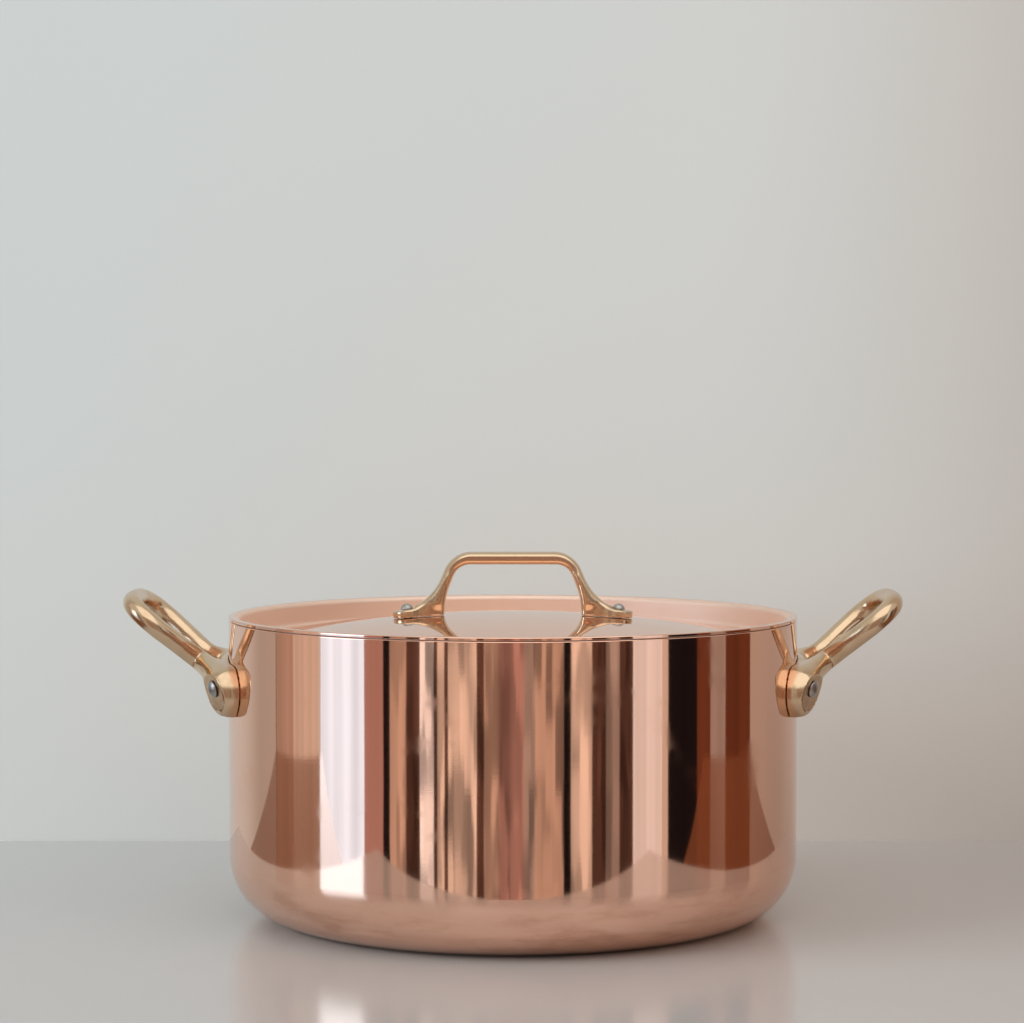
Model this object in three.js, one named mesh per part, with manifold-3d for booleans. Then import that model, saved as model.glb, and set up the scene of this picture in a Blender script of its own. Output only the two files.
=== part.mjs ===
// Copper stew pot: a straight-sided pot with two cast bronze side handles and a lid that drops into its mouth.
// Millimetres, +Z up. The origin is the centre of the flat base, and +X runs through the right handle.
import * as THREE from "three";
import { mergeVertices } from "three/addons/utils/BufferGeometryUtils.js";
import Module from "manifold-3d";

const wasm = await Module();
wasm.setup();

// Pot: a deep-drawn copper shell with a thin steel lining bonded inside it.
const POT_RADIUS = 120; // outside of the wall
const POT_HEIGHT = 125.2; // table to rim
const BASE_CORNER = 26; // outside radius between base and wall
const POT_COPPER = 1.75;
const RIM_EDGE = 0.5; // rounding of the rim's outer edge
const LINING = 0.2; // steel in the pot and under the lid
const BOND_GAP = 0.05; // between the copper and its lining

// Lid: a domed disc, a step that goes down into the mouth, and a flange that rests on the rim.
const LID_COPPER = 1.25;
const MOUTH_GAP = 1; // between the step and the pot's lining
const SEAT_ON_RIM = 0.1; // between the flange and the rim
const FLANGE_OVERHANG = 0; // flange past the pot's wall
const FLANGE_EDGE = 0.5; // rounding of the flange's outer edge
const FLANGE_BEND = 0.7; // radius under the flange, where it turns down
const STEP_WALL = 6.1; // straight part of the step
const STEP_FILLET = 2.4; // radius between the step and the dome, on top
const DOME_RADIUS = 590;

// Side handles: a round bar bent to a loop, a boss for a rivet at each root, and a web along the wall.
const RIVET_DROP = 26.4; // rim to the rivets
const RIVET_HALF_SPACING = 35; // middle of the handle to a rivet's axis, on the wall
const RIVET_SPLAY = 25; // degrees between a rivet's axis and the middle of the handle
const BOSS_RADIUS = 9.4;
const BOSS_HEIGHT = 9.1; // wall to the rivet's seat
const BOSS_MIDDLE = 1.5; // wall to the middle of the boss
const BOSS_DEPTH = 8.6; // that middle to the top of the boss's round form, above the seat
const BOSS_DROP = 2.2; // rivet down to the middle of the boss
const BOSS_BULGE = 2.2; // 2 makes a boss an ellipsoid, more makes it squarer
const SEAT_RADIUS = 8.2; // flat milled round the rivet
const SEAT_TILT = 14; // degrees that the flat looks down
const LOOP_SLOPE = 40.2; // degrees above the horizon
const LOOP_RISE = 0.5; // rivets to where the plane of the loop meets the wall
const LOOP_REACH = 52.2; // up the slope, from the wall to the middle of the grip
const LOOP_END = 14; // length of the rounded end of the loop
const LOOP_SQUARENESS = 3; // 2 makes that end an ellipse, more makes it squarer
const LOOP_HALF_WIDTH = 25; // middle of the loop to a leg, at its widest
const ROOT_REACH = 14.5; // up the slope, from the wall to where a leg turns to its boss
const ROOT_HALF_WIDTH = 17; // middle of the loop to a leg, at its root
const BAR_RADIUS = 4.1;
const ROOT_RADIUS = 4.2;
const ROOT_LIFT = 2.3; // rivet to where a leg runs into its boss
const WEB_TOP = 11.3; // above the rivets, in the middle
const WEB_HEIGHT = 12;
const WEB_DEPTH = 6; // wall to the web's face
const WEB_FALL = 6; // how far the web drops towards the bosses

// Lid handle: a bar bent to an arch with splayed legs, on two feet that run out to a round pad.
const ARCH_HEIGHT = 26.2; // middle of the lid to the top of the arch
const ARCH_THICKNESS = 5.4;
const ARCH_DEPTH = 9; // front to back
const ARCH_TOP_HALF = 17.8; // half of the straight top
const ARCH_BEND = 10; // radius of the corners, in the middle of the bar
const LEG_LEAN = 22; // degrees from upright
const LEG_THICKNESS = 4.4;
const FOOT_RISE = 15; // height at which a foot leaves its leg
const FOOT_INNER = 29; // middle of the lid to the inner face of a foot
const FOOT_BEVEL = 2; // rounding of a foot's upper edges
const PAD_REACH = 44.6; // middle of the lid to a rivet
const PAD_RADIUS = 6.1;
const PAD_HEIGHT = 3.2; // lid to the rivet's seat
const PAD_EDGE = 1.4; // rounding of the pad

// Rivets, each with a domed head on the casting and a flatter one inside.
const SIDE_RIVET = { shank: 2.5, head: 3.6, headHeight: 1.7, innerHead: 5, innerHeight: 1.4 };
const LID_RIVET = { shank: 1.7, head: 2.6, headHeight: 2.4, innerHead: 4.5, innerHeight: 1.2 };
const HEAD_EDGE = 0.4; // straight edge under a rivet's dome

// Clearances: round a shank in its hole, and under a casting or a head.
const HOLE_FIT = 0.3;
const SEAT_GAP = 0.3;

// Facets.
const ROUND = 48; // round the pot and the lid
const BOSS_SIDES = 20;
const RIVET_SIDES = 10;
const BAR_SIDES = 10;
const LOOP_STEPS = 44;
const ARCH_STEPS = 24;
const LOOP_END_TURNS = [0, 20, 45, 70]; // degrees, points on the rounded end of the loop
const WEB_STEPS = 8;
const CORNER_STEPS = 5;
const BEND_STEPS = 2;
const EDGE_STEPS = 2;
const DOME_STEPS = 4;
const BULGE_STEPS = 8;

// What follows from the driving dimensions.
const POT_WALL = POT_COPPER + BOND_GAP + LINING;
const LID_THICKNESS = LID_COPPER + BOND_GAP + LINING;
const RIVET_Z = POT_HEIGHT - RIVET_DROP;
const FLANGE_TOP = POT_HEIGHT + SEAT_ON_RIM + LID_THICKNESS;
const FLANGE_RADIUS = POT_RADIUS + FLANGE_OVERHANG;
const THROUGH = POT_RADIUS + POT_HEIGHT; // longer than any cut has to be

const UP = new THREE.Vector3(0, 0, 1);
const radians = THREE.MathUtils.degToRad;
const degrees = THREE.MathUtils.radToDeg;
const at = (r, z) => new THREE.Vector2(r, z);

// Points of a profile along an arc, both ends included.
function arc(centreR, centreZ, radius, fromDegrees, toDegrees, steps) {
  return Array.from({ length: steps + 1 }, (_, i) => {
    const angle = radians(fromDegrees + ((toDegrees - fromDegrees) * i) / steps);
    return at(centreR + radius * Math.cos(angle), centreZ + radius * Math.sin(angle));
  });
}

// A profile that starts and ends on the axis, run anticlockwise, turned about Z.
function revolve(profile, sides) {
  return new THREE.LatheGeometry(profile, sides).rotateX(Math.PI / 2);
}

// A closed geometry as a solid that can be joined and cut.
function solid(geometry) {
  const bare = geometry.clone();
  bare.deleteAttribute("normal");
  bare.deleteAttribute("uv");
  const merged = mergeVertices(bare, 1e-4);
  return new wasm.Manifold(
    new wasm.Mesh({
      numProp: 3,
      vertProperties: merged.attributes.position.array,
      triVerts: new Uint32Array(merged.index.array),
    }),
  );
}

// A solid as a geometry again.
function geometryOf(made) {
  const { numProp, numVert, vertProperties, triVerts } = made.getMesh();
  const positions = new Float32Array(numVert * 3);
  for (let i = 0; i < numVert; i++)
    positions.set(vertProperties.subarray(i * numProp, i * numProp + 3), i * 3);
  const geometry = new THREE.BufferGeometry();
  geometry.setAttribute("position", new THREE.BufferAttribute(positions, 3));
  geometry.setIndex(new THREE.BufferAttribute(triVerts, 1));
  geometry.computeVertexNormals();
  return geometry;
}

const joined = (geometries) => geometries.map(solid).reduce((a, b) => a.add(b));
const cut = (made, geometries) => geometries.map(solid).reduce((a, b) => a.subtract(b), made);

// A skin over rings of points, closed by a flat fan at both ends.
function loft(rings) {
  const sides = rings[0].length;
  const last = (rings.length - 1) * sides;
  const index = [];
  for (let ring = 0; ring < last; ring += sides)
    for (let j = 0; j < sides; j++) {
      const k = (j + 1) % sides;
      index.push(ring + j, ring + k, ring + sides + j);
      index.push(ring + k, ring + sides + k, ring + sides + j);
    }
  for (let j = 1; j + 1 < sides; j++) {
    index.push(0, j + 1, j);
    index.push(last, last + j, last + j + 1);
  }
  const positions = rings.flat().flatMap((p) => [p.x, p.y, p.z]);
  const geometry = new THREE.BufferGeometry();
  geometry.setAttribute("position", new THREE.Float32BufferAttribute(positions, 3));
  geometry.setIndex(index);
  return geometry;
}

// An oval section carried along a path without twist. sizes holds its half-widths, x along the first normal.
function sweep(path, sizes, steps, firstNormal) {
  const normal = firstNormal.clone();
  let tangent = path.getTangent(0);
  const rings = [];
  for (let i = 0; i <= steps; i++) {
    const next = path.getTangent(i / steps);
    normal.applyQuaternion(new THREE.Quaternion().setFromUnitVectors(tangent, next));
    tangent = next;
    const binormal = new THREE.Vector3().crossVectors(tangent, normal);
    const centre = path.getPoint(i / steps);
    const size = sizes.getPoint(i / steps);
    rings.push(
      Array.from({ length: BAR_SIDES }, (_, j) => {
        const angle = (2 * Math.PI * j) / BAR_SIDES;
        return centre
          .clone()
          .addScaledVector(normal, size.x * Math.cos(angle))
          .addScaledVector(binormal, size.y * Math.sin(angle));
      }),
    );
  }
  return loft(rings);
}

// Moves a geometry made about Z so that its axis starts at a point and runs in a direction.
function aim(geometry, { start, direction }) {
  const turn = new THREE.Quaternion().setFromUnitVectors(UP, direction);
  return geometry.applyQuaternion(turn).translate(start.x, start.y, start.z);
}

// A plain round bar about Z between two heights.
const roundBar = (radius, bottom, top, sides) =>
  revolve([at(0, bottom), at(radius, bottom), at(radius, top), at(0, top)], sides);

// A round pad about Z with a rounded upper edge.
function roundPad(radius, bottom, top, edge) {
  const rounding = arc(radius - edge, top - edge, edge, 0, 90, EDGE_STEPS);
  return revolve([at(0, bottom), at(radius, bottom), ...rounding, at(0, top)], BOSS_SIDES);
}

// Profile of a rivet's head over a height: its straight edge, then its dome.
function headProfile(radius, height, foot) {
  const rise = height - HEAD_EDGE;
  const sphere = (radius * radius + rise * rise) / (2 * rise);
  const half = degrees(Math.asin(radius / sphere));
  const dome = arc(0, foot + height - sphere, sphere, 90 - half, 90, EDGE_STEPS);
  return [at(radius, foot), ...dome];
}

// The pot's profile at a depth under its outside, from the axis to the foot of the wall.
const potSurface = (depth) => [
  at(0, depth),
  ...arc(POT_RADIUS - BASE_CORNER, BASE_CORNER, BASE_CORNER - depth, -90, 0, CORNER_STEPS),
];

// Where a side rivet comes out of the wall of the handle at +X, and its direction. side is +1 or -1 along Y.
function rivetLine(side) {
  const onWall = Math.asin(RIVET_HALF_SPACING / POT_RADIUS);
  const splay = radians(RIVET_SPLAY);
  const start = new THREE.Vector3(POT_RADIUS * Math.cos(onWall), side * RIVET_HALF_SPACING, RIVET_Z);
  const direction = new THREE.Vector3(Math.cos(splay), side * Math.sin(splay), 0);
  return { start, direction };
}

// The middle of the flat that a side rivet's head sits on, and the direction square to it.
function seatLine(side) {
  const line = rivetLine(side);
  const start = line.start.addScaledVector(line.direction, BOSS_HEIGHT);
  const tilt = radians(SEAT_TILT);
  const direction = line.direction.multiplyScalar(Math.cos(tilt)).addScaledVector(UP, -Math.sin(tilt));
  return { start, direction };
}

// Everything above a height over that flat.
const overSeat = (side, height) => aim(roundBar(THROUGH, height, height + THROUGH, BOSS_SIDES), seatLine(side));

// The hole for a side rivet, through casting and wall.
function sideRivetHole(side) {
  const length = BOSS_HEIGHT + POT_WALL + BOSS_RADIUS;
  return aim(roundBar(SIDE_RIVET.shank + HOLE_FIT, -length, length, RIVET_SIDES), rivetLine(side));
}

// The four holes in the wall, for both handles.
const wallHoles = () =>
  [0, Math.PI].flatMap((turn) => [1, -1].map((side) => sideRivetHole(side).rotateZ(turn)));

function potShell() {
  const profile = [
    ...potSurface(0),
    ...arc(POT_RADIUS - RIM_EDGE, POT_HEIGHT - RIM_EDGE, RIM_EDGE, 0, 90, EDGE_STEPS),
    at(POT_RADIUS - POT_COPPER, POT_HEIGHT),
    ...potSurface(POT_COPPER).reverse(),
  ];
  return geometryOf(cut(solid(revolve(profile, ROUND)), wallHoles()));
}

function potLining() {
  const outside = POT_COPPER + BOND_GAP;
  const profile = [
    ...potSurface(outside),
    at(POT_RADIUS - outside, POT_HEIGHT),
    at(POT_RADIUS - POT_WALL, POT_HEIGHT),
    ...potSurface(POT_WALL).reverse(),
  ];
  return geometryOf(cut(solid(revolve(profile, ROUND)), wallHoles()));
}

// A point in the plane of the loop at +X, by its way up the slope and its place across.
function onSlope(reach, across) {
  const slope = radians(LOOP_SLOPE);
  const out = reach * Math.cos(slope);
  return new THREE.Vector3(POT_RADIUS + out, across, RIVET_Z + LOOP_RISE + reach * Math.sin(slope));
}

// Half of the bar's centre line from its boss to the rounded end of the loop, with its radius.
function loopHalf(side) {
  const { start, direction } = rivetLine(side);
  const inBoss = start.clone().addScaledVector(direction, BOSS_HEIGHT / 2).addScaledVector(UP, ROOT_LIFT);
  const root = onSlope(ROOT_REACH, side * ROOT_HALF_WIDTH);
  const elbow = inBoss.clone().lerp(root, 0.5).addScaledVector(UP, LOOP_RISE / 2);
  const shoulder = LOOP_REACH - LOOP_END;
  const legMiddle = onSlope((ROOT_REACH + shoulder) / 2, (side * (ROOT_HALF_WIDTH + LOOP_HALF_WIDTH)) / 2);
  const end = LOOP_END_TURNS.map((turn) => {
    const up = LOOP_END * Math.sin(radians(turn)) ** (2 / LOOP_SQUARENESS);
    const across = LOOP_HALF_WIDTH * Math.cos(radians(turn)) ** (2 / LOOP_SQUARENESS);
    return onSlope(shoulder + up, side * across);
  });
  return [
    { point: inBoss, radius: BAR_RADIUS },
    { point: elbow, radius: ROOT_RADIUS },
    { point: root, radius: ROOT_RADIUS },
    ...[legMiddle, ...end].map((point) => ({ point, radius: BAR_RADIUS })),
  ];
}

// The bar of a side handle, from one boss round the grip to the other.
function loopBar() {
  const middle = { point: onSlope(LOOP_REACH, 0), radius: BAR_RADIUS };
  const stations = [...loopHalf(1), middle, ...loopHalf(-1).reverse()];
  const path = new THREE.CatmullRomCurve3(stations.map((s) => s.point));
  const sizes = new THREE.SplineCurve(stations.map((s) => at(s.radius, s.radius)));
  const across = new THREE.Vector3().crossVectors(path.getTangent(0), UP).normalize();
  return sweep(path, sizes, LOOP_STEPS, across);
}

// The web that joins the roots along the wall: an oval section bent round the pot, dropping to both ends.
function handleWeb() {
  const reach = Math.asin(RIVET_HALF_SPACING / POT_RADIUS);
  const rings = Array.from({ length: WEB_STEPS + 1 }, (_, i) => {
    const share = 1 - (2 * i) / WEB_STEPS;
    const middle = RIVET_Z + WEB_TOP - WEB_HEIGHT / 2 - WEB_FALL * share * share;
    return Array.from({ length: BAR_SIDES }, (_, j) => {
      const turn = (2 * Math.PI * j) / BAR_SIDES;
      const out = POT_RADIUS + WEB_DEPTH * Math.cos(turn);
      const z = middle + (WEB_HEIGHT / 2) * Math.sin(turn);
      return new THREE.Vector3(out * Math.cos(reach * share), out * Math.sin(reach * share), z);
    });
  });
  return loft(rings);
}

// A boss of a side handle: a bulging round form that is cut off by the flat for its rivet.
function handleBoss(side) {
  const { start, direction } = rivetLine(side);
  const bulge = Array.from({ length: BULGE_STEPS + 1 }, (_, i) => {
    const turn = (Math.PI * i) / BULGE_STEPS - Math.PI / 2;
    const out = BOSS_RADIUS * Math.abs(Math.cos(turn)) ** (2 / BOSS_BULGE);
    const along = BOSS_DEPTH * Math.abs(Math.sin(turn)) ** (2 / BOSS_BULGE);
    return at(i % BULGE_STEPS ? out : 0, BOSS_MIDDLE + Math.sign(turn) * along);
  });
  const middle = { start: start.addScaledVector(UP, -BOSS_DROP), direction };
  return cut(solid(aim(revolve(bulge, BOSS_SIDES), middle)), [overSeat(side, 0)]);
}

// A side handle at +X: bar, web and bosses as one casting, fitted to the wall and milled flat for its rivets.
function sideHandle() {
  let casting = joined([loopBar(), handleWeb()]);
  const cutters = [roundBar(POT_RADIUS + SEAT_GAP, -THROUGH, THROUGH, ROUND)];
  for (const side of [1, -1]) {
    casting = casting.add(handleBoss(side));
    cutters.push(aim(roundBar(SEAT_RADIUS, 0, 2 * SEAT_RADIUS, BOSS_SIDES), seatLine(side)));
    cutters.push(sideRivetHole(side));
  }
  return geometryOf(cut(casting, cutters));
}

// A side rivet: a shank along its splayed axis, an outer head square to the flat and an inner one to the wall.
function sideRivet(side) {
  const { shank, head, headHeight, innerHead, innerHeight } = SIDE_RIVET;
  const line = rivetLine(side);
  const inside = (POT_RADIUS - POT_WALL) * Math.cos(Math.PI / ROUND); // at the middle of a facet
  const along = line.start.x * line.direction.x + line.start.y * line.direction.y;
  const depth = along - Math.sqrt(along ** 2 - POT_RADIUS ** 2 + inside ** 2);
  const exit = line.start.clone().addScaledVector(line.direction, -depth);
  const inward = new THREE.Vector3(-exit.x, -exit.y, 0).normalize();
  const end = -depth - SEAT_GAP - HEAD_EDGE;
  const bar = solid(aim(roundBar(shank, end, BOSS_HEIGHT + SEAT_RADIUS, RIVET_SIDES), line));
  const headOn = (radius, height) =>
    revolve([at(0, SEAT_GAP), ...headProfile(radius, height, SEAT_GAP)], RIVET_SIDES);
  const outer = aim(headOn(head, headHeight), seatLine(side));
  const inner = aim(headOn(innerHead, innerHeight), { start: exit, direction: inward });
  return geometryOf(cut(bar, [overSeat(side, SEAT_GAP + HEAD_EDGE)]).add(joined([outer, inner])));
}

// The lid's profile at a depth under its top, from the axis to the flat of the flange.
function lidSurface(depth) {
  const step = POT_RADIUS - POT_WALL - MOUTH_GAP - LID_THICKNESS;
  const bend = FLANGE_BEND + LID_THICKNESS;
  const filletR = step - STEP_FILLET;
  const filletZ = FLANGE_TOP - bend - STEP_WALL;
  const lean = degrees(Math.asin(filletR / (DOME_RADIUS + STEP_FILLET)));
  const domeZ = filletZ - (DOME_RADIUS + STEP_FILLET) * Math.cos(radians(lean));
  return [
    ...arc(0, domeZ, DOME_RADIUS - depth, 90, 90 - lean, DOME_STEPS),
    ...arc(filletR, filletZ, STEP_FILLET + depth, -90 - lean, 0, BEND_STEPS).slice(1),
    ...arc(step + bend, FLANGE_TOP - bend, bend - depth, 180, 90, BEND_STEPS),
  ];
}

const LID_MIDDLE = lidSurface(0)[0].y;

// Where a rivet of the lid comes out of the dome, and its direction, square to the dome. end is +1 or -1 along X.
function padLine(end) {
  const rise = Math.sqrt(DOME_RADIUS ** 2 - PAD_REACH ** 2);
  const start = new THREE.Vector3(end * PAD_REACH, 0, LID_MIDDLE - DOME_RADIUS + rise);
  const direction = new THREE.Vector3(end * PAD_REACH, 0, rise).normalize();
  return { start, direction };
}

const lidHoles = () =>
  [1, -1].map((end) => {
    const length = PAD_HEIGHT + LID_THICKNESS + PAD_RADIUS;
    return aim(roundBar(LID_RIVET.shank + HOLE_FIT, -length, length, RIVET_SIDES), padLine(end));
  });

function lidShell() {
  const profile = [
    ...lidSurface(LID_COPPER),
    at(FLANGE_RADIUS, FLANGE_TOP - LID_COPPER),
    ...arc(FLANGE_RADIUS - FLANGE_EDGE, FLANGE_TOP - FLANGE_EDGE, FLANGE_EDGE, 0, 90, EDGE_STEPS),
    ...lidSurface(0).reverse(),
  ];
  return geometryOf(cut(solid(revolve(profile, ROUND)), lidHoles()));
}

function lidLining() {
  const top = LID_COPPER + BOND_GAP;
  const edge = FLANGE_RADIUS - FLANGE_EDGE;
  const profile = [
    ...lidSurface(LID_THICKNESS),
    at(edge, FLANGE_TOP - LID_THICKNESS),
    at(edge, FLANGE_TOP - top),
    ...lidSurface(top).reverse(),
  ];
  return geometryOf(cut(solid(revolve(profile, ROUND)), lidHoles()));
}

// Place on the centre line of a leg at a height, out from the middle of the lid.
function legReach(z) {
  const barZ = LID_MIDDLE + ARCH_HEIGHT - ARCH_THICKNESS / 2;
  const turned = radians(90 - LEG_LEAN);
  const bendEndX = ARCH_TOP_HALF + ARCH_BEND * Math.sin(turned);
  const bendEndZ = barZ - ARCH_BEND * (1 - Math.cos(turned));
  return bendEndX + (bendEndZ - z) * Math.tan(radians(LEG_LEAN));
}

// The arch: straight top, two bent corners and two thinner splayed legs that end in their feet.
function archBar() {
  const barZ = LID_MIDDLE + ARCH_HEIGHT - ARCH_THICKNESS / 2;
  const legEnd = LID_MIDDLE + FOOT_RISE / 3;
  const top = [at(ARCH_TOP_HALF / 2, barZ), at(ARCH_TOP_HALF, barZ)];
  const leg = [
    ...arc(ARCH_TOP_HALF, barZ - ARCH_BEND, ARCH_BEND, 90, LEG_LEAN, BEND_STEPS).slice(1),
    at(legReach(legEnd), legEnd),
  ];
  const sized = (points, thickness) => points.map((p) => ({ p, size: at(ARCH_DEPTH / 2, thickness / 2) }));
  const half = [...sized(top, ARCH_THICKNESS), ...sized(leg, LEG_THICKNESS)];
  const stations = [...half.map(({ p, size }) => ({ p: at(-p.x, p.y), size })).reverse(), ...half];
  const path = new THREE.CatmullRomCurve3(stations.map(({ p }) => new THREE.Vector3(p.x, 0, p.y)));
  const sizes = new THREE.SplineCurve(stations.map(({ size }) => size));
  return sweep(path, sizes, ARCH_STEPS, new THREE.Vector3(0, 1, 0));
}

// A foot: from high on its leg it falls in a hollow curve to its pad. Its side view is drawn and given depth.
function archFoot(end) {
  const { start } = padLine(1);
  const top = LID_MIDDLE + FOOT_RISE;
  const padTop = start.z + PAD_HEIGHT;
  const leg = at(legReach(top), top);
  const heel = at(FOOT_INNER + FOOT_BEVEL, start.z - PAD_HEIGHT);
  const side = new THREE.Shape([heel, at(PAD_REACH, heel.y), at(PAD_REACH, padTop - FOOT_BEVEL)]);
  side.quadraticCurveTo(legReach(padTop), padTop - FOOT_BEVEL, leg.x, leg.y);
  const foot = new THREE.ExtrudeGeometry(side, {
    depth: ARCH_DEPTH - 2 * FOOT_BEVEL,
    bevelThickness: FOOT_BEVEL,
    bevelSize: FOOT_BEVEL,
    bevelSegments: EDGE_STEPS,
    curveSegments: CORNER_STEPS,
  });
  foot.rotateX(Math.PI / 2).translate(0, ARCH_DEPTH / 2 - FOOT_BEVEL, 0);
  return end > 0 ? foot : foot.rotateZ(Math.PI);
}

// The lid's handle: arch, feet and pads as one casting, fitted to the dome and milled flat for its rivets.
function lidHandle() {
  const ends = [1, -1];
  const pads = ends.map((end) => aim(roundPad(PAD_RADIUS, -PAD_HEIGHT, PAD_HEIGHT, PAD_EDGE), padLine(end)));
  const mills = ends.map((end) =>
    aim(roundBar(PAD_RADIUS - PAD_EDGE, PAD_HEIGHT, PAD_HEIGHT + PAD_RADIUS, BOSS_SIDES), padLine(end)),
  );
  const dome = lidSurface(-SEAT_GAP).slice(0, DOME_STEPS + 1).reverse();
  const lid = revolve([at(0, -THROUGH), at(dome[0].x, -THROUGH), ...dome], ROUND);
  return geometryOf(cut(joined([archBar(), ...ends.map(archFoot), ...pads]), [lid, ...mills, ...lidHoles()]));
}

// A rivet of the lid about Z, with the lid's top at zero: domed head on the pad, flatter head under the lid.
function lidRivet() {
  const { shank, head, headHeight, innerHead, innerHeight } = LID_RIVET;
  const seat = PAD_HEIGHT + SEAT_GAP;
  const under = LID_THICKNESS + SEAT_GAP;
  const profile = [
    ...headProfile(innerHead, innerHeight, under).map((p) => at(p.x, -p.y)).reverse(),
    at(shank, -under),
    at(shank, seat),
    ...headProfile(head, headHeight, seat),
  ];
  return revolve(profile, RIVET_SIDES);
}

const copper = new THREE.MeshStandardMaterial({ color: 0xd59a7c, roughness: 0.1, metalness: 1 });
const bronze = new THREE.MeshStandardMaterial({ color: 0xcdb083, roughness: 0.16, metalness: 1 });
const steel = new THREE.MeshStandardMaterial({ color: 0xb9b9b6, roughness: 0.3, metalness: 1 });

function piece(name, geometry, material) {
  const mesh = new THREE.Mesh(geometry, material);
  mesh.name = name;
  return mesh;
}

// One side of the pot: a handle and its two rivets, turned to their place on the wall.
function handleSet(name, turn) {
  const set = new THREE.Group();
  set.add(piece(`${name}_handle`, sideHandle(), bronze));
  for (const side of [1, -1]) {
    const row = side * Math.cos(turn) > 0 ? "back" : "front";
    set.add(piece(`${name}_handle_rivet_${row}`, sideRivet(side), steel));
  }
  set.rotation.z = turn;
  return set;
}

const pot = new THREE.Group();
pot.add(piece("pot_shell", potShell(), copper));
pot.add(piece("pot_lining", potLining(), steel));
pot.add(handleSet("right", 0), handleSet("left", Math.PI));

const lid = new THREE.Group();
lid.add(piece("lid_shell", lidShell(), copper));
lid.add(piece("lid_lining", lidLining(), steel));
lid.add(piece("lid_handle", lidHandle(), bronze));
for (const [name, end] of Object.entries({ right: 1, left: -1 })) {
  const { start, direction } = padLine(end);
  const rivet = piece(`lid_rivet_${name}`, lidRivet(), steel);
  rivet.position.copy(start);
  rivet.quaternion.setFromUnitVectors(UP, direction);
  lid.add(rivet);
}

const stewPot = new THREE.Group();
stewPot.add(pot, lid);

export default stewPot;
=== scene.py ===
"""A copper stew pot with its lid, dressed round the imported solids, on a pale counter before a wall.

Sizes of the pot and the lid are millimetres and become metres where a mesh is made. The room, the
studio, the camera and all coordinates in materials are metres. +Z is up, the origin is the centre of
the flat base, and +X runs through the right handle.
"""

import logging
import math
from abc import ABC, abstractmethod
from collections.abc import Callable, Sequence
from dataclasses import dataclass
from enum import Enum
from functools import cached_property

import bpy
import numpy as np
from mathutils import Matrix, Vector


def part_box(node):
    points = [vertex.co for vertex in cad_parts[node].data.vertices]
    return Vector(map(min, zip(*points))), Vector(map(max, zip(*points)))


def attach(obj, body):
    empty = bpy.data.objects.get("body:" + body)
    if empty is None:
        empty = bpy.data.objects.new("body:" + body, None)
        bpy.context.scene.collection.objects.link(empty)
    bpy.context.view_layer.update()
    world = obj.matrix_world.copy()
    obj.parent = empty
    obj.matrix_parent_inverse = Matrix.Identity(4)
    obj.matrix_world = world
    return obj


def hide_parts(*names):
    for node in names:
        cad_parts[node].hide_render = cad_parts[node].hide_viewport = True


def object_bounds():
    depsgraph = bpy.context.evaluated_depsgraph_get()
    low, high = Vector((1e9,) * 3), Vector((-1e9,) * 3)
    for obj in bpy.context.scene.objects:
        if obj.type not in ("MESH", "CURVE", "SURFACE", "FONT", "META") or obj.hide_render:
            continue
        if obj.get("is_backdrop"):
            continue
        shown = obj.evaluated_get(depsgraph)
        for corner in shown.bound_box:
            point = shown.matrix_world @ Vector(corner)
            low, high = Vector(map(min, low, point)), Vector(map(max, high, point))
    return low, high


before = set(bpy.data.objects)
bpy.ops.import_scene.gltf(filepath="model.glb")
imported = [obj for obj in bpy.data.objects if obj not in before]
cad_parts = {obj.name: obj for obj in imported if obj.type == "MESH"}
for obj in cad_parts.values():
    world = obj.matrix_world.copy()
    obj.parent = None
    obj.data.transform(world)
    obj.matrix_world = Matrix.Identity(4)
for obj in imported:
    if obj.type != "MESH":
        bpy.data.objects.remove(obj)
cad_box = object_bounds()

MM = 0.001
IMAGE_WIDTH = 1024  # pixels
FULL_TURN = 360.0
CASTING_ROOM = 2.0  # millimetres left free round a casting while its skin is made

Point = tuple[float, float]
Span = tuple[float, float]
Colour = tuple[float, float, float]
Place = tuple[float, float, float]
Form = Callable[[np.ndarray], np.ndarray]

log = logging.getLogger("stew_pot")


class Body(Enum):
    """The two bodies that move apart."""

    POT = "pot"
    LID = "lid"


class Slot(Enum):
    """The record's material slots."""

    COPPER = "copper"
    BRONZE = "bronze"
    LINING = "steel_lining"
    RIVET = "steel_rivet"


class Side(Enum):
    """A side of the pot, with the turn about Z that takes the +X handle there."""

    RIGHT = 0.0
    LEFT = math.pi

    @property
    def label(self) -> str:
        """The side's name as the nodes spell it."""
        return self.name.lower()


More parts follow.
